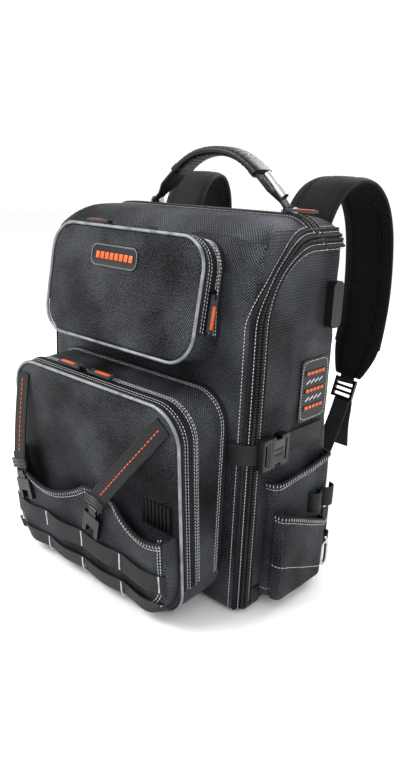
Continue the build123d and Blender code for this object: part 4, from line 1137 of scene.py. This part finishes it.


# ------------------------------------------------------------------ front straps
# A strap runs from each upper corner of the lower door down to a ribbed keeper, with a line
# of orange stitching along its middle. One half of a side-release buckle hangs below.
# The orange thread's darker tone is painted shade in its twist's grooves.
orange_thread = thread("bonded_nylon_thread_orange", "#e0602a", "#9c3410")
buckle_plastic = rubbery("acetal_buckle_moulded", "#060607", 0.33, 0.9, 0.06, "#101113", 0.4)
small_stitch = (2.4 * MM, 0.6 * MM, 0.4 * MM)
for side_name, sign, end_x, end_up in (("right", 1, 36, 130), ("left", -1, 124, 128)):
    start = lower_stand @ Vector((sign * 133 * MM, 250 * MM, 1.6 * MM))
    end = lower_stand @ Vector((sign * end_x * MM, (end_up - 1) * MM, 27.6 * MM))
    line = (end - start).normalized()
    across = low_out.cross(line).normalized()
    out = line.cross(across).normalized()
    middle = []
    for i in range(41):
        bow = math.sin(math.pi * i / 40) * 1.6 * MM
        middle.append(start.lerp(end, i / 40) + out * bow)
    half_strap = across * 12.5 * MM
    strap = strip(f"front_strap_{side_name}_webbing", middle, half_strap, -half_strap)
    finish(strap, "lower_door_body", "nylon_webbing", f"front_strap_{side_name}")
    line_spots = paced([(p + out * 1.2 * MM, out) for p in middle], 6.4 * MM)[1:-3]
    edge_spots = []
    for side in (-1, 1):
        aside = out * 1.1 * MM + across * side * 9.8 * MM
        edge_spots += paced([(p + aside, out) for p in middle], 3.6 * MM)
    sewing = [
        row_of("line", line_spots, (4.2 * MM, 1.5 * MM, 0.7 * MM), orange_thread),
        row_of("edges", edge_spots, small_stitch, coil_nylon),
    ]
    sewing = join(f"front_strap_{side_name}_stitching", sewing)
    finish(sewing, "lower_door_body", "nylon_webbing")
    hang = (low_turn @ Vector((-0.24 * sign, -0.97, 0))).normalized()
    wide_way = hang.cross(low_out).normalized()
    knot = lower_stand @ Vector((sign * end_x * MM, end_up * MM, 27 * MM))
    ribs = [knot + hang * step * MM + low_out * 1.6 * MM for step in (-5, 0, 5)]
    cheeks = [knot + hang * 7.2 * MM + wide_way * side * 9 * MM for side in (-1, 1)]
    keeper = [
        row_of(name, [(p, hang, low_out) for p in spots], [c * MM for c in size], buckle_plastic)
        for name, spots, size in (
            ("plate", [knot], (14, 32, 3.8)),
            ("ribs", ribs, (3.2, 32, 2.4)),
            ("cheeks", cheeks, (13.5, 3, 3.2)),
        )
    ]
    pin = knot + hang * 12.5 * MM
    pin_course = [(pin + wide_way * s * MM, low_out) for s in (-10.5, 0, 10.5)]
    keeper.append(piping("pin", pin_course, 1.6 * MM, buckle_plastic))
    finish(join(f"front_strap_{side_name}_keeper", keeper), "lower_door_body", "buckle_plastic")
    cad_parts[f"front_buckle_{side_name}"].data.materials[0] = buckle_plastic


# ------------------------------------------------------------------ compression straps
# On each side a webbing strap is sewn into the rear seam and holds a side-release buckle's
# socket. The prong half is sewn to the lid by a short tab that wraps its front corner.
def shaped(name, blocks, notches, material, soften=0.7):
    """Moulded blocks joined in one, notched, with softened edges. All corners in mm."""
    made = None
    for low, high in blocks:
        part = block(name, [c * MM for c in low], [c * MM for c in high])
        if made:
            modify(made, "BOOLEAN", object=part, operation="UNION", solver="EXACT")
            bpy.data.objects.remove(part)
        else:
            made = part
    for low, high in notches:
        part = block("notch", [c * MM for c in low], [c * MM for c in high])
        modify(made, "BOOLEAN", object=part, operation="DIFFERENCE", solver="EXACT")
        bpy.data.objects.remove(part)
    modify(made, "BEVEL", width=soften * MM, segments=2, limit_method="ANGLE", angle_limit=0.6)
    made.data.materials.append(material)
    smooth(made, 40)
    return made


def mirror(piece):
    """Turns a piece of the right side into its twin on the left."""
    piece.data.transform(Matrix.Scale(-1, 4, (1, 0, 0)))
    piece.data.flip_normals()


catch = shaped(
    "catch",
    [((187.3, -58, 191), (198.3, -24, 229))],
    [
        ((189.5, -59, 193.2), (196.1, -33, 226.8)),
        ((186, -50, 225), (200, -39, 230)),
        ((186, -50, 190), (200, -39, 195)),
        ((197.2, -53, 206), (199, -36, 207.2)),
        ((197.2, -53, 212.8), (199, -36, 214)),
        ((186, -31.5, 197), (200, -28.5, 223)),
    ],
    buckle_plastic,
)
prong = shaped(
    "prong",
    [
        ((187.3, -73.3, 191), (198.3, -58.3, 229)),
        ((190.9, -60, 196.5), (194.7, -39, 201.5)),
        ((190.9, -60, 218.5), (194.7, -39, 223.5)),
        ((191.2, -60, 207.5), (194.4, -44, 212.5)),
    ],
    [
        ((186, -70.5, 197), (200, -67.0, 223)),
        ((197.4, -65.4, 194), (199, -64.2, 226)),
        ((197.4, -62.4, 194), (199, -61.2, 226)),
    ],
    buckle_plastic,
)
for half_part, name, node, rider in (
    (catch, "compression_buckle_catch", "compression_catches", "pack"),
    (prong, "compression_buckle_prong", "compression_prongs", "lid"),
):
    other = copy_of(half_part, "other")
    mirror(other)
    finish(join(name, [half_part, other]), rider, "buckle_plastic", node)
tray_skin = BVHTree.FromObject(tray, bpy.context.evaluated_depsgraph_get())
straps, tabs, thread_spots = [], [], []
lower, upper = Vector((0, 0, 197 * MM)), Vector((0, 0, 223 * MM))
for sign in (1, -1):
    course = []
    for i in range(31):
        y = (-40 + 100 * i / 30) * MM
        hit = tray_skin.ray_cast(Vector((sign * 0.3, y, 0.21)), Vector((-sign, 0, 0)))[0]
        x = hit.x if hit else sign * half
        course.append(Vector((x + sign * 1.3 * MM, y, 0)))
    straps.append(strip("strap", course, upper, lower))
    for z in (200, 220):
        aside = Vector((sign * 1.1 * MM, 0, z * MM))
        thread_spots += paced([(p + aside, Vector((sign, 0, 0))) for p in course], 3.8 * MM)
    bend = [(188.6, -60), (188.2, -66)]
    for k in range(1, 10):
        angle = math.radians(90 * k / 9)
        bend.append((163 + 25 * math.cos(angle), -66 - 24.6 * math.sin(angle)))
    bend.append((157, -90.6))
    tabs.append(strip("tab", [Vector((sign * x, y, 0)) * MM for x, y in bend], upper, lower))
finish(join("compression_strap_webbing", straps), "pack", "nylon_webbing", "compression_straps")
finish(join("compression_tab_webbing", tabs), "lid", "nylon_webbing", "compression_tabs")
sewing = row_of("compression_strap_stitching", thread_spots, small_stitch, coil_nylon)
finish(sewing, "pack", "nylon_webbing")


# ------------------------------------------------------------------ side pockets
# A phone pocket with a small slant-mouthed pocket on its face on the right, and a bottle
# pocket on the left. Each is cloth, bound at the mouth with ladder-stitched grosgrain.
def side_cup(name, sign, base_x, out, rear_y, front_z, rear_z, belly, *nodes):
    """An open pocket on a side wall; its mouth slopes from front_z to rear_z. All in mm."""
    front = -46
    low, high = (base_x - 6, front, 12), (base_x + out, rear_y, 230)
    cup = block(name, [c * MM for c in low], [c * MM for c in high])
    round_edges(cup, along(2, lambda m: m.x > base_x * MM), 10 * MM, 6)

    def at_the_foot(edge):
        low_down = all(v.co.z < 0.0121 for v in edge.verts)
        return low_down and max(v.co.x for v in edge.verts) > base_x * MM

    round_edges(cup, at_the_foot, 6 * MM, 4)
    modify(cup, "REMESH", mode="VOXEL", voxel_size=2.8 * MM)
    modify(cup, "SMOOTH", factor=0.5, iterations=3)
    slope = (rear_z - front_z) / (rear_y - front)
    for vertex in cup.data.vertices:
        x, y, z = (c / MM for c in vertex.co)
        share = min(1, max(0, (x - base_x) / out))
        lengthwise = math.sin(math.pi * min(1, max(0, (y - front) / (rear_y - front))))
        upright = math.sin(math.pi * 0.62 * min(1, max(0, (z - 12) / (front_z - 12))) + 0.15)
        ripple = math.sin(y * 0.11 + z * 0.05) * math.sin(z * 0.07 - y * 0.04)
        vertex.co.x += share * (belly * lengthwise * upright + 0.6 * ripple) * MM
    for place, way in (
        ((0, front * MM, front_z * MM), (0, -slope, 1)),
        (((base_x + 0.3) * MM, 0, 0), (-1, 0, 0)),
    ):
        edit(
            cup,
            lambda face: True,
            "FACE",
            lambda: bpy.ops.mesh.bisect(plane_co=place, plane_no=way, clear_outer=True),
        )
    skin = BVHTree.FromObject(cup, bpy.context.evaluated_depsgraph_get())
    cup.data.materials.append(ballistic)
    modify(cup, "SOLIDIFY", thickness=2.2 * MM, offset=-1)

    def course_at(drop, lift):
        """The mouth's U-shaped course, drop below it, found on the cup's cloth."""
        found = []
        middle = Vector((base_x * MM, (front + rear_y) / 2 * MM, 0))
        for i in range(-24, 25):
            angle = math.pi / 2 * i / 24
            reach = Vector((math.cos(angle) * out, math.sin(angle) * (rear_y - front) / 2, 0)) * MM
            start_at = middle + Vector((0.02 * MM, reach.y * 0.93, 0))
            start_at.z = (front_z + slope * (start_at.y / MM - front) - drop) * MM
            way = Vector((math.cos(angle), math.sin(angle) ** 15, 0)).normalized()
            hit, normal, _, _ = skin.ray_cast(start_at + Vector((0.5 * MM, 0, 0)), way)
            if hit is None:
                continue
            if normal.dot(way) < 0:
                normal = -normal
            found.append((hit + normal * lift * MM, Vector((normal.x, normal.y, 0)).normalized()))
        return found

    rows = (
        ("hem", 7.5, 0.4, stitch_step, bold_stitch),
        ("ladder", 2.0, 2.7, 4.6 * MM, cross_stitch),
        ("foot", min(front_z, rear_z) - 24, 0.4, stitch_step, bold_stitch),
    )
    trim = piping(f"{name}_binding", course_at(1.5, 0.0), 2.7 * MM, binding_cloth, sides=10)
    stitches = [
        row_of(row, paced(course_at(drop, lift), step), size, pale_thread)
        for row, drop, lift, step, size in rows
    ]
    parts = [cup, trim, join(f"{name}_stitching", stitches)]
    map_cloth(cup)
    smooth(cup, 50)
    for part in parts:
        if sign < 0:
            mirror(part)
        finish(part, "pack", "ballistic_nylon" if part is cup else "nylon_webbing")
    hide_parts(*nodes)


side_cup("phone_pocket_cloth", 1, 185, 16, 74, 166, 178, 1.5, "phone_pocket")
side_cup("small_pocket_cloth", 1, 201, 14, 54, 132, 92, 2.5, "small_pocket")
side_cup("bottle_pocket_cloth", -1, 185, 22, 74, 150, 170, 2.0, "bottle_pocket")

# Two upright loops for tools and a hanging strap with a steel snap hook, all of webbing.
pieces = []
for loop_y in (34, 62):
    course = []
    for k in range(19):
        angle = math.radians(-90 + 10 * k)
        x, y = 202.2 + 10.5 * math.cos(angle), loop_y + 10.2 * math.sin(angle)
        course.append(Vector((x, y, 0)) * MM)
    pieces.append(strip("loop", course, Vector((0, 0, 136 * MM)), Vector((0, 0, 110 * MM))))
drop = [Vector((203.6 * MM, 66 * MM, (102 - 4 * k) * MM)) for k in range(11)]
aside = Vector((0, 7 * MM, 0))
pieces.append(strip("drop", drop, aside, -aside))
up, right = Vector((0, 0, 1)), Vector((1, 0, 0))
cheeks = [(Vector((205.6 * MM, (66 + s * 5) * MM, 60 * MM)), up, right) for s in (-1, 1)]
pieces.append(row_of("cheeks", cheeks, (15 * MM, 3.4 * MM, 6.5 * MM), black_webbing))
pin = [(Vector((207 * MM, y * MM, 56 * MM)), right) for y in (59.5, 66, 72.5)]
pieces.append(piping("pin", pin, 1.6 * MM, buckle_plastic))
finish(join("tool_loops_and_tape_strap", pieces), "pack", "nylon_webbing", "side_webbing")


# ------------------------------------------------------------------ charging port and patch
# The port's shroud and the patch are moulded soft rubber, sewn to the right wall. The patch
# carries three rows of plain orange bars with pale slashes between them.
port_rubber = rubbery("soft_rubber_black_moulded", "#070809", 0.42, 0.8, 0.12, "#131416")
for name in ("usb_port", "side_patch", "corner_guards"):
    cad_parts[name].data.materials[0] = port_rubber
pale_rubber = rubbery("soft_rubber_pale", "#b9bbbe", 0.5, 0.6, 0.1, "#d2d4d6")
rearward = Vector((0, 1, 0))


def on_patch(x, across, heights):
    """Spots on the patch at distances across it and heights up it, in mm."""
    return [(Vector((x, y, z)) * MM, rearward, right) for z in heights for y in across]


rows = on_patch(188.0, (22, 30, 38, 46, 54), (245.8, 268.0, 290.2))
slashes = on_patch(187.2, (24, 33, 42, 51), (256.9, 279.1))
bars = [
    row_of("bars", rows, (6 * MM, 3.8 * MM, 0.8 * MM), orange_rubber),
    row_of("slashes", slashes, (9 * MM, 1.6 * MM, 0.6 * MM), pale_rubber, 0.5),
]
finish(join("patch_bars", bars), "pack", "moulded_rubber")
rim = []
for k in range(33):
    angle = 2 * math.pi * k / 32
    reach = (abs(math.cos(angle)) ** 8 + abs(math.sin(angle)) ** 8) ** (-1 / 8)
    y, z = 38 + 27.5 * reach * math.cos(angle), 268 + 37.5 * reach * math.sin(angle)
    rim.append((Vector((187.1, y, z)) * MM, right))
rim_stitch = (2.5 * MM, 0.7 * MM, 0.5 * MM)
sewing = row_of("patch_stitching", paced(rim, 3.8 * MM), rim_stitch, pale_thread)
finish(sewing, "pack", "moulded_rubber")


# ------------------------------------------------------------------ carry handle
# Two layers of webbing run from foot to foot, with a ridged grip of moulded rubber over
# the middle and a satin steel tube along the right leg. The feet turn on steel pins.
def lofted(name, frames, section, around, material):
    """A closed tube through frames of (place, across, out); section(t, angle) gives its size."""
    deselect()
    count = len(frames) - 1
    bpy.ops.mesh.primitive_grid_add(x_subdivisions=count, y_subdivisions=around, size=1)
    made = bpy.context.object
    made.name = name
    steps = [
        (round((v.co.x + 0.5) * count), round((v.co.y + 0.5) * around)) for v in made.data.vertices
    ]
    lengths = [0.0]
    for (a, _, _), (b, _, _) in zip(frames, frames[1:]):
        lengths.append(lengths[-1] + (b - a).length)
    cloth_map = made.data.uv_layers[0]
    shape = {}
    for step in range(count + 1):
        for side in range(around + 1):
            shape[step, side] = section(lengths[step] / lengths[-1], 2 * math.pi * side / around)
    for vertex, key in zip(made.data.vertices, steps):
        place, across, out = frames[key[0]]
        vertex.co = place + across * shape[key][0] + out * shape[key][1]
    for loop in made.data.loops:
        key = steps[loop.vertex_index]
        cloth_map.data[loop.index].uv = (lengths[key[0]], shape[key][0])
    made.data.materials.append(material)
    seal(made)
    return made


def framed(course, across):
    """Frames for lofted along a course of places, with a steady across direction."""
    frames, last = [], len(course) - 1
    for i, place in enumerate(course):
        line = (course[min(i + 1, last)] - course[max(i - 1, 0)]).normalized()
        side = (across - line * across.dot(line)).normalized()
        frames.append((place, side, line.cross(side).normalized()))
    return frames


def evenly(course, count):
    """The same course through count + 1 even steps."""
    lengths = [0.0]
    for a, b in zip(course, course[1:]):
        lengths.append(lengths[-1] + (b - a).length)
    found, at = [], 0
    for i in range(count + 1):
        want = lengths[-1] * i / count
        while at < len(course) - 2 and lengths[at + 1] < want:
            at += 1
        share = (want - lengths[at]) / max(1e-9, lengths[at + 1] - lengths[at])
        found.append(course[at].lerp(course[at + 1], min(1, share)))
    return found


bow = [
    Vector((x * MM, 54 * MM, z * MM))
    for x, z in ((-118, 482), (-64, 532), (-26, 551), (26, 551), (64, 532), (118, 482))
]
bow = evenly(eased(bow, 4), 96)


def half_wide(x):
    """Half the webbing's width at x; it narrows to its feet."""
    return (7 + 9 * min(1, max(0, (108 * MM - abs(x)) / (14 * MM)))) * MM


legs = [
    ribbon(
        "leg",
        [p + rearward * half_wide(p.x) for p in bow],
        [p - rearward * half_wide(p.x) for p in bow],
        3.6 * MM,
        black_webbing,
        4,
    )
]
for sign in (-1, 1):
    eye = []
    for aside in (-6.8, 0, 6.8):
        eye.append((Vector((sign * (118 + aside) * MM, 54 * MM, 482 * MM)), up))
    legs.append(piping("eye", eye, 4.7 * MM, black_webbing, sides=16))
finish(join("handle_straps", legs), "handle", "nylon_webbing", "handle_webbing")
grip_rubber = rubbery("grip_rubber_ridged", "#060608", 0.38, 0.7, 0.1, "#121315")
grip_course = evenly([p for p in bow if abs(p.x) < 76 * MM], 150)


def grip_section(t, angle):
    """The grip's outline at a share t of its length: ridges, a collar and rounded ends."""
    ends = min(t, 1 - t)
    ridge = 0.0
    if 0.13 < t < 0.87:
        ridge = -0.9 * max(0, math.sin(t * math.pi * 2 * 20)) ** 0.5
    collar = 0.8 if 0.02 < ends < 0.075 else 0.0
    tip = min(1, (ends / 0.02)) ** 0.5 if ends < 0.02 else 1
    wide, thick = (17.4 + collar) * tip + 0.3, (6.0 + collar + ridge) * tip + 0.3
    c, s = math.cos(angle), math.sin(angle)
    reach = (abs(c) ** 3.2 + abs(s) ** 3.2) ** (-1 / 3.2)
    return wide * c * reach * MM, thick * s * reach * MM


grip = lofted("handle_grip_rubber", framed(grip_course, rearward), grip_section, 40, grip_rubber)
smooth(grip, 35)
finish(grip, "handle", "moulded_rubber", "handle_grip")
dots = []
for at in (118, 124):
    place, side, out = framed(grip_course, rearward)[at]
    if out.z < 0:
        out = -out
    dots.append((place + out * 6.3 * MM, Vector((1, 0, 0)), out))
studs = row_of("handle_grip_studs", dots, (2.6 * MM, 2.6 * MM, 1.2 * MM), pale_rubber)
finish(studs, "handle", "moulded_rubber")
steel, steel_tree, steel_shader = new_material("stainless_steel_satin_brushed")
steel_place = add_node(steel_tree, "ShaderNodeTexCoord").outputs["Object"]
drawn = add_node(steel_tree, "ShaderNodeMapping", Vector=steel_place, Scale=(60, 60, 2200))
brush = add_node(steel_tree, "ShaderNodeTexNoise", Vector=drawn.outputs[0], Scale=1.0, Detail=3.0)
greys, brushed = ("#9fa2a6", "#d5d7da"), brush.outputs[0]
coat(steel_tree, steel_shader, brushed, greys, (0, 1), brushed, 0.05, 1.0, 0.3)
steel_shader.inputs["Metallic"].default_value = 1.0
for name in ("handle_rod", "handle_anchors", "tape_hook"):
    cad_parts[name].data.materials[0] = steel


# ------------------------------------------------------------------ zip sliders and pulls
# Die-cast sliders in black enamel. Each pull is a moulded grey rubber tab with an orange
# panel let into its face.
slider_enamel = rubbery("zinc_slider_black_enamel", "#0e0f11", 0.28, 1.2, 0.03, "#1c1e21", 0.5)
slider_enamel.node_tree.nodes["Principled BSDF"].inputs["Metallic"].default_value = 0.6
pull_rubber = rubbery("soft_rubber_pull_grey", "#2c2e32", 0.5, 0.7, 0.1, "#404246")
up_turn = upper_stand.to_3x3()
up_face = up_turn @ rearward
# Where each slider sits, which way its pull points, and which way is off the cloth.
slider_seats = {
    "main": (Vector((133, 30, 477.5)) * MM, right, up),
    "upper_top": (upper_stand @ (Vector((-49, 143.6, -18)) * MM), -right, up_face),
    "upper_side": (upper_stand @ (Vector((135.6, 82, -18)) * MM), -up_face, right),
    "lower_left": (lower_stand @ (Vector((-34, 269.6, -18)) * MM), -right, low_up),
    "lower_right": (lower_stand @ (Vector((-14, 269.6, -18)) * MM), right, low_up),
}
for name, (seat, line, away) in slider_seats.items():
    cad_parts[f"{name}_slider"].data.materials[0] = slider_enamel
    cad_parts[f"{name}_pull"].data.materials[0] = pull_rubber
    top = seat + away * (0.8 + 2.2 + 2.4) * MM
    inlay = [(top + line * 24 * MM + away * side * 1.6 * MM, line, away * side) for side in (1, -1)]
    piece = row_of(f"{name}_pull_inlay", inlay, (26 * MM, 5.4 * MM, 0.9 * MM), orange_rubber)
    finish(piece, f"{name}_pull_body", "pull_rubber")


# ------------------------------------------------------------------ shoulder straps
# Curved foam straps with charcoal cloth outside and black mesh inside, sewn through along
# two channels. Webbing rises from the pack's foot to a ladder lock on each strap's end.
# The strap cloth's and the air mesh's thread crests are painted paler as a highlight.
strap_cloth = weave_with_painted_crests("polyester_strap_cloth_woven", "#040405", "#24262a", 1.7, 0.3, 0.6)
mesh_cloth = weave_with_painted_crests("air_mesh_polyester_knitted", "#010101", "#0d0e10", 3.2, 1.2, 0.85)
for side_name, sign in (("right", 1), ("left", -1)):
    places = (
        (112, 94.5, 396), (112, 94.5, 452), (118, 124.5, 510), (130, 174.5, 524),
        (142, 212.5, 480), (150, 216.5, 380), (150, 206.5, 300), (146, 192.5, 246),
    )
    course = evenly(eased([Vector((sign * x, y, z)) * MM for x, y, z in places], 4), 120)
    frames = framed(course, Vector((sign, 0, 0)))

    def strap_section(t, angle):
        """The strap's outline at a share t of its length, pinched along its two seams."""
        c, s = math.cos(angle), math.sin(angle)
        narrow = 1 - 0.42 * max(0, (t - 0.9) / 0.1) ** 1.5 - 0.06 * max(0, (0.06 - t) / 0.06)
        side = math.copysign(abs(c) ** 0.42, c)
        rim = (1 - abs(side) ** 5) ** 0.5
        thick = 1.4 + 4.9 * rim
        for seam in (-0.56, 0.56):
            thick -= 2.3 * math.exp(-(((side - seam) / 0.055) ** 2))
        ripple = 0.35 * math.sin(t * 61 + side * 3) * rim
        end = min(1, 0.35 + min(t, 1 - t) / 0.012)
        deep = math.copysign(thick + ripple, s) * end * abs(s) ** 0.25
        return side * 34.5 * narrow * MM, deep * MM

    strap = lofted(f"shoulder_strap_{side_name}_padded", frames, strap_section, 64, strap_cloth)
    strap.data.materials.append(mesh_cloth)
    for polygon in strap.data.polygons:
        near = min(frames[::4], key=lambda f: (f[0] - polygon.center).length_squared)
        if (polygon.center - near[0]).dot(near[2]) * sign > 0:
            polygon.material_index = 1
    smooth(strap, 60)
    finish(strap, "pack", "ballistic_nylon", f"shoulder_strap_{side_name}")
    rims = []
    for way in (1, -1):
        edge = [(p + a * way * 34.6 * MM, a * way) for p, a, _ in frames[1:109]]
        rims.append(piping("rim", edge, 2.3 * MM, binding_cloth))
    finish(join(f"shoulder_strap_{side_name}_binding", rims), "pack", "nylon_webbing")
    seams = []
    for seam in (-0.56, 0.56):
        for way in (1, -1):
            line = []
            for p, a, o in frames[3:108]:
                line.append((p + a * seam * 34.5 * MM + o * way * 4.4 * MM, o * way))
            seams += paced(line, 4.0 * MM)
    name = f"shoulder_strap_{side_name}_stitching"
    sewing = row_of(name, seams, (2.8 * MM, 0.8 * MM, 0.6 * MM), coil_nylon)
    finish(sewing, "pack", "nylon_webbing")
    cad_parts[f"ladder_lock_{side_name}"].data.materials[0] = buckle_plastic

runs = []
for sign in (1, -1):
    places = (
        (146, 89.4, 44), (146, 89.4, 70), (146, 138, 134), (146, 176, 196), (146, 183, 214),
        (146, 190, 214), (146, 190, 196), (146, 186.5, 176), (146, 190.5, 140),
    )
    course = evenly(eased([Vector((sign * x, y, z)) * MM for x, y, z in places], 3), 80)
    aside = Vector((12.5 * MM, 0, 0))
    runs.append(strip("run", course, aside, -aside))
    middle = Vector((sign * 145.5, 190.75, 239.2)) * MM
    eye = [(middle + Vector((s * MM, 0, 0)), up) for s in (-11, 0, 11)]
    runs.append(piping("eye", eye, 3.9 * MM, black_webbing, sides=14))
    fold = [Vector((sign * 146, y, z)) * MM for y, z in ((195.6, 260), (193.6, 250), (191.0, 240))]
    aside = Vector((11 * MM, 0, 0))
    runs.append(strip("fold", fold, aside, -aside, 2.6))
finish(join("shoulder_strap_webbing", runs), "pack", "nylon_webbing", "strap_webbing")


# ------------------------------------------------------------------ back padding
# Three foam lobes under black air mesh, two above and one across the lumbar, sewn down to
# a sheet of the same mesh with channels between them for air.
def puff(piece, pressure, cap):
    """Swells a foam piece by cloth pressure, no point moving further than cap."""
    before = [vertex.co.copy() for vertex in piece.data.vertices]
    cloth = piece.modifiers.new("cloth", "CLOTH")
    cloth.settings.use_pressure = True
    cloth.settings.uniform_pressure_force = pressure
    cloth.settings.effector_weights.gravity = 0
    for step in range(1, 21):
        bpy.context.scene.frame_set(step)
    swollen = piece.evaluated_get(bpy.context.evaluated_depsgraph_get()).data
    after = [vertex.co.copy() for vertex in swollen.vertices]
    piece.modifiers.remove(cloth)
    bpy.context.scene.frame_set(1)
    for vertex, old, new in zip(piece.data.vertices, before, after):
        move = new - old
        if move.length > cap:
            move *= cap / move.length
        vertex.co = old + move


lobe_boxes = (
    ("left_lobe", (-126, 91.5, 167), (-14, 95, 368)),
    ("right_lobe", (14, 91.5, 167), (126, 95, 368)),
    ("lumbar_lobe", (-126, 91.5, 42), (126, 95, 139)),
)
for name, low, high in lobe_boxes:
    lobe = block(f"back_pad_{name}", [c * MM for c in low], [c * MM for c in high])
    round_edges(lobe, along(1), 26 * MM, 8)
    modify(lobe, "REMESH", mode="VOXEL", voxel_size=2.6 * MM)
    puff(lobe, 4.0, 5 * MM)
    for vertex in lobe.data.vertices:
        x, y, z = vertex.co
        across = (x - (low[0] + high[0]) / 2 * MM) / ((high[0] - low[0]) / 2 * MM)
        rise = (z - (low[2] + high[2]) / 2 * MM) / ((high[2] - low[2]) / 2 * MM)
        dome = max(0, 1 - across**4) * max(0, 1 - rise**4)
        if y > 93 * MM:
            vertex.co.y = min(99.5 * MM, 93.5 * MM + 5.5 * MM * dome**0.5)
        else:
            vertex.co.y = 90.6 * MM
    modify(lobe, "SUBSURF", levels=1, render_levels=1)
    lobe.data.materials.append(mesh_cloth)
    map_cloth(lobe)
    smooth(lobe, 60)
    finish(lobe, "pack", "air_mesh")
sheet = block("back_pad_sheet", (-128 * MM, 88.4 * MM, 40 * MM), (128 * MM, 91.4 * MM, 370 * MM))
round_edges(sheet, along(1), 30 * MM, 8)
modify(sheet, "REMESH", mode="VOXEL", voxel_size=2.2 * MM)
for vertex in sheet.data.vertices:
    x, y, z = vertex.co
    if y > 90 * MM:
        vertex.co.y += 0.4 * MM * math.sin(x * 160) * math.sin(z * 150)
sheet.data.materials.append(mesh_cloth)
map_cloth(sheet)
smooth(sheet, 60)
finish(sheet, "pack", "air_mesh", "back_pad")

bpy.data.objects.remove(whole)
bpy.data.objects.remove(core)
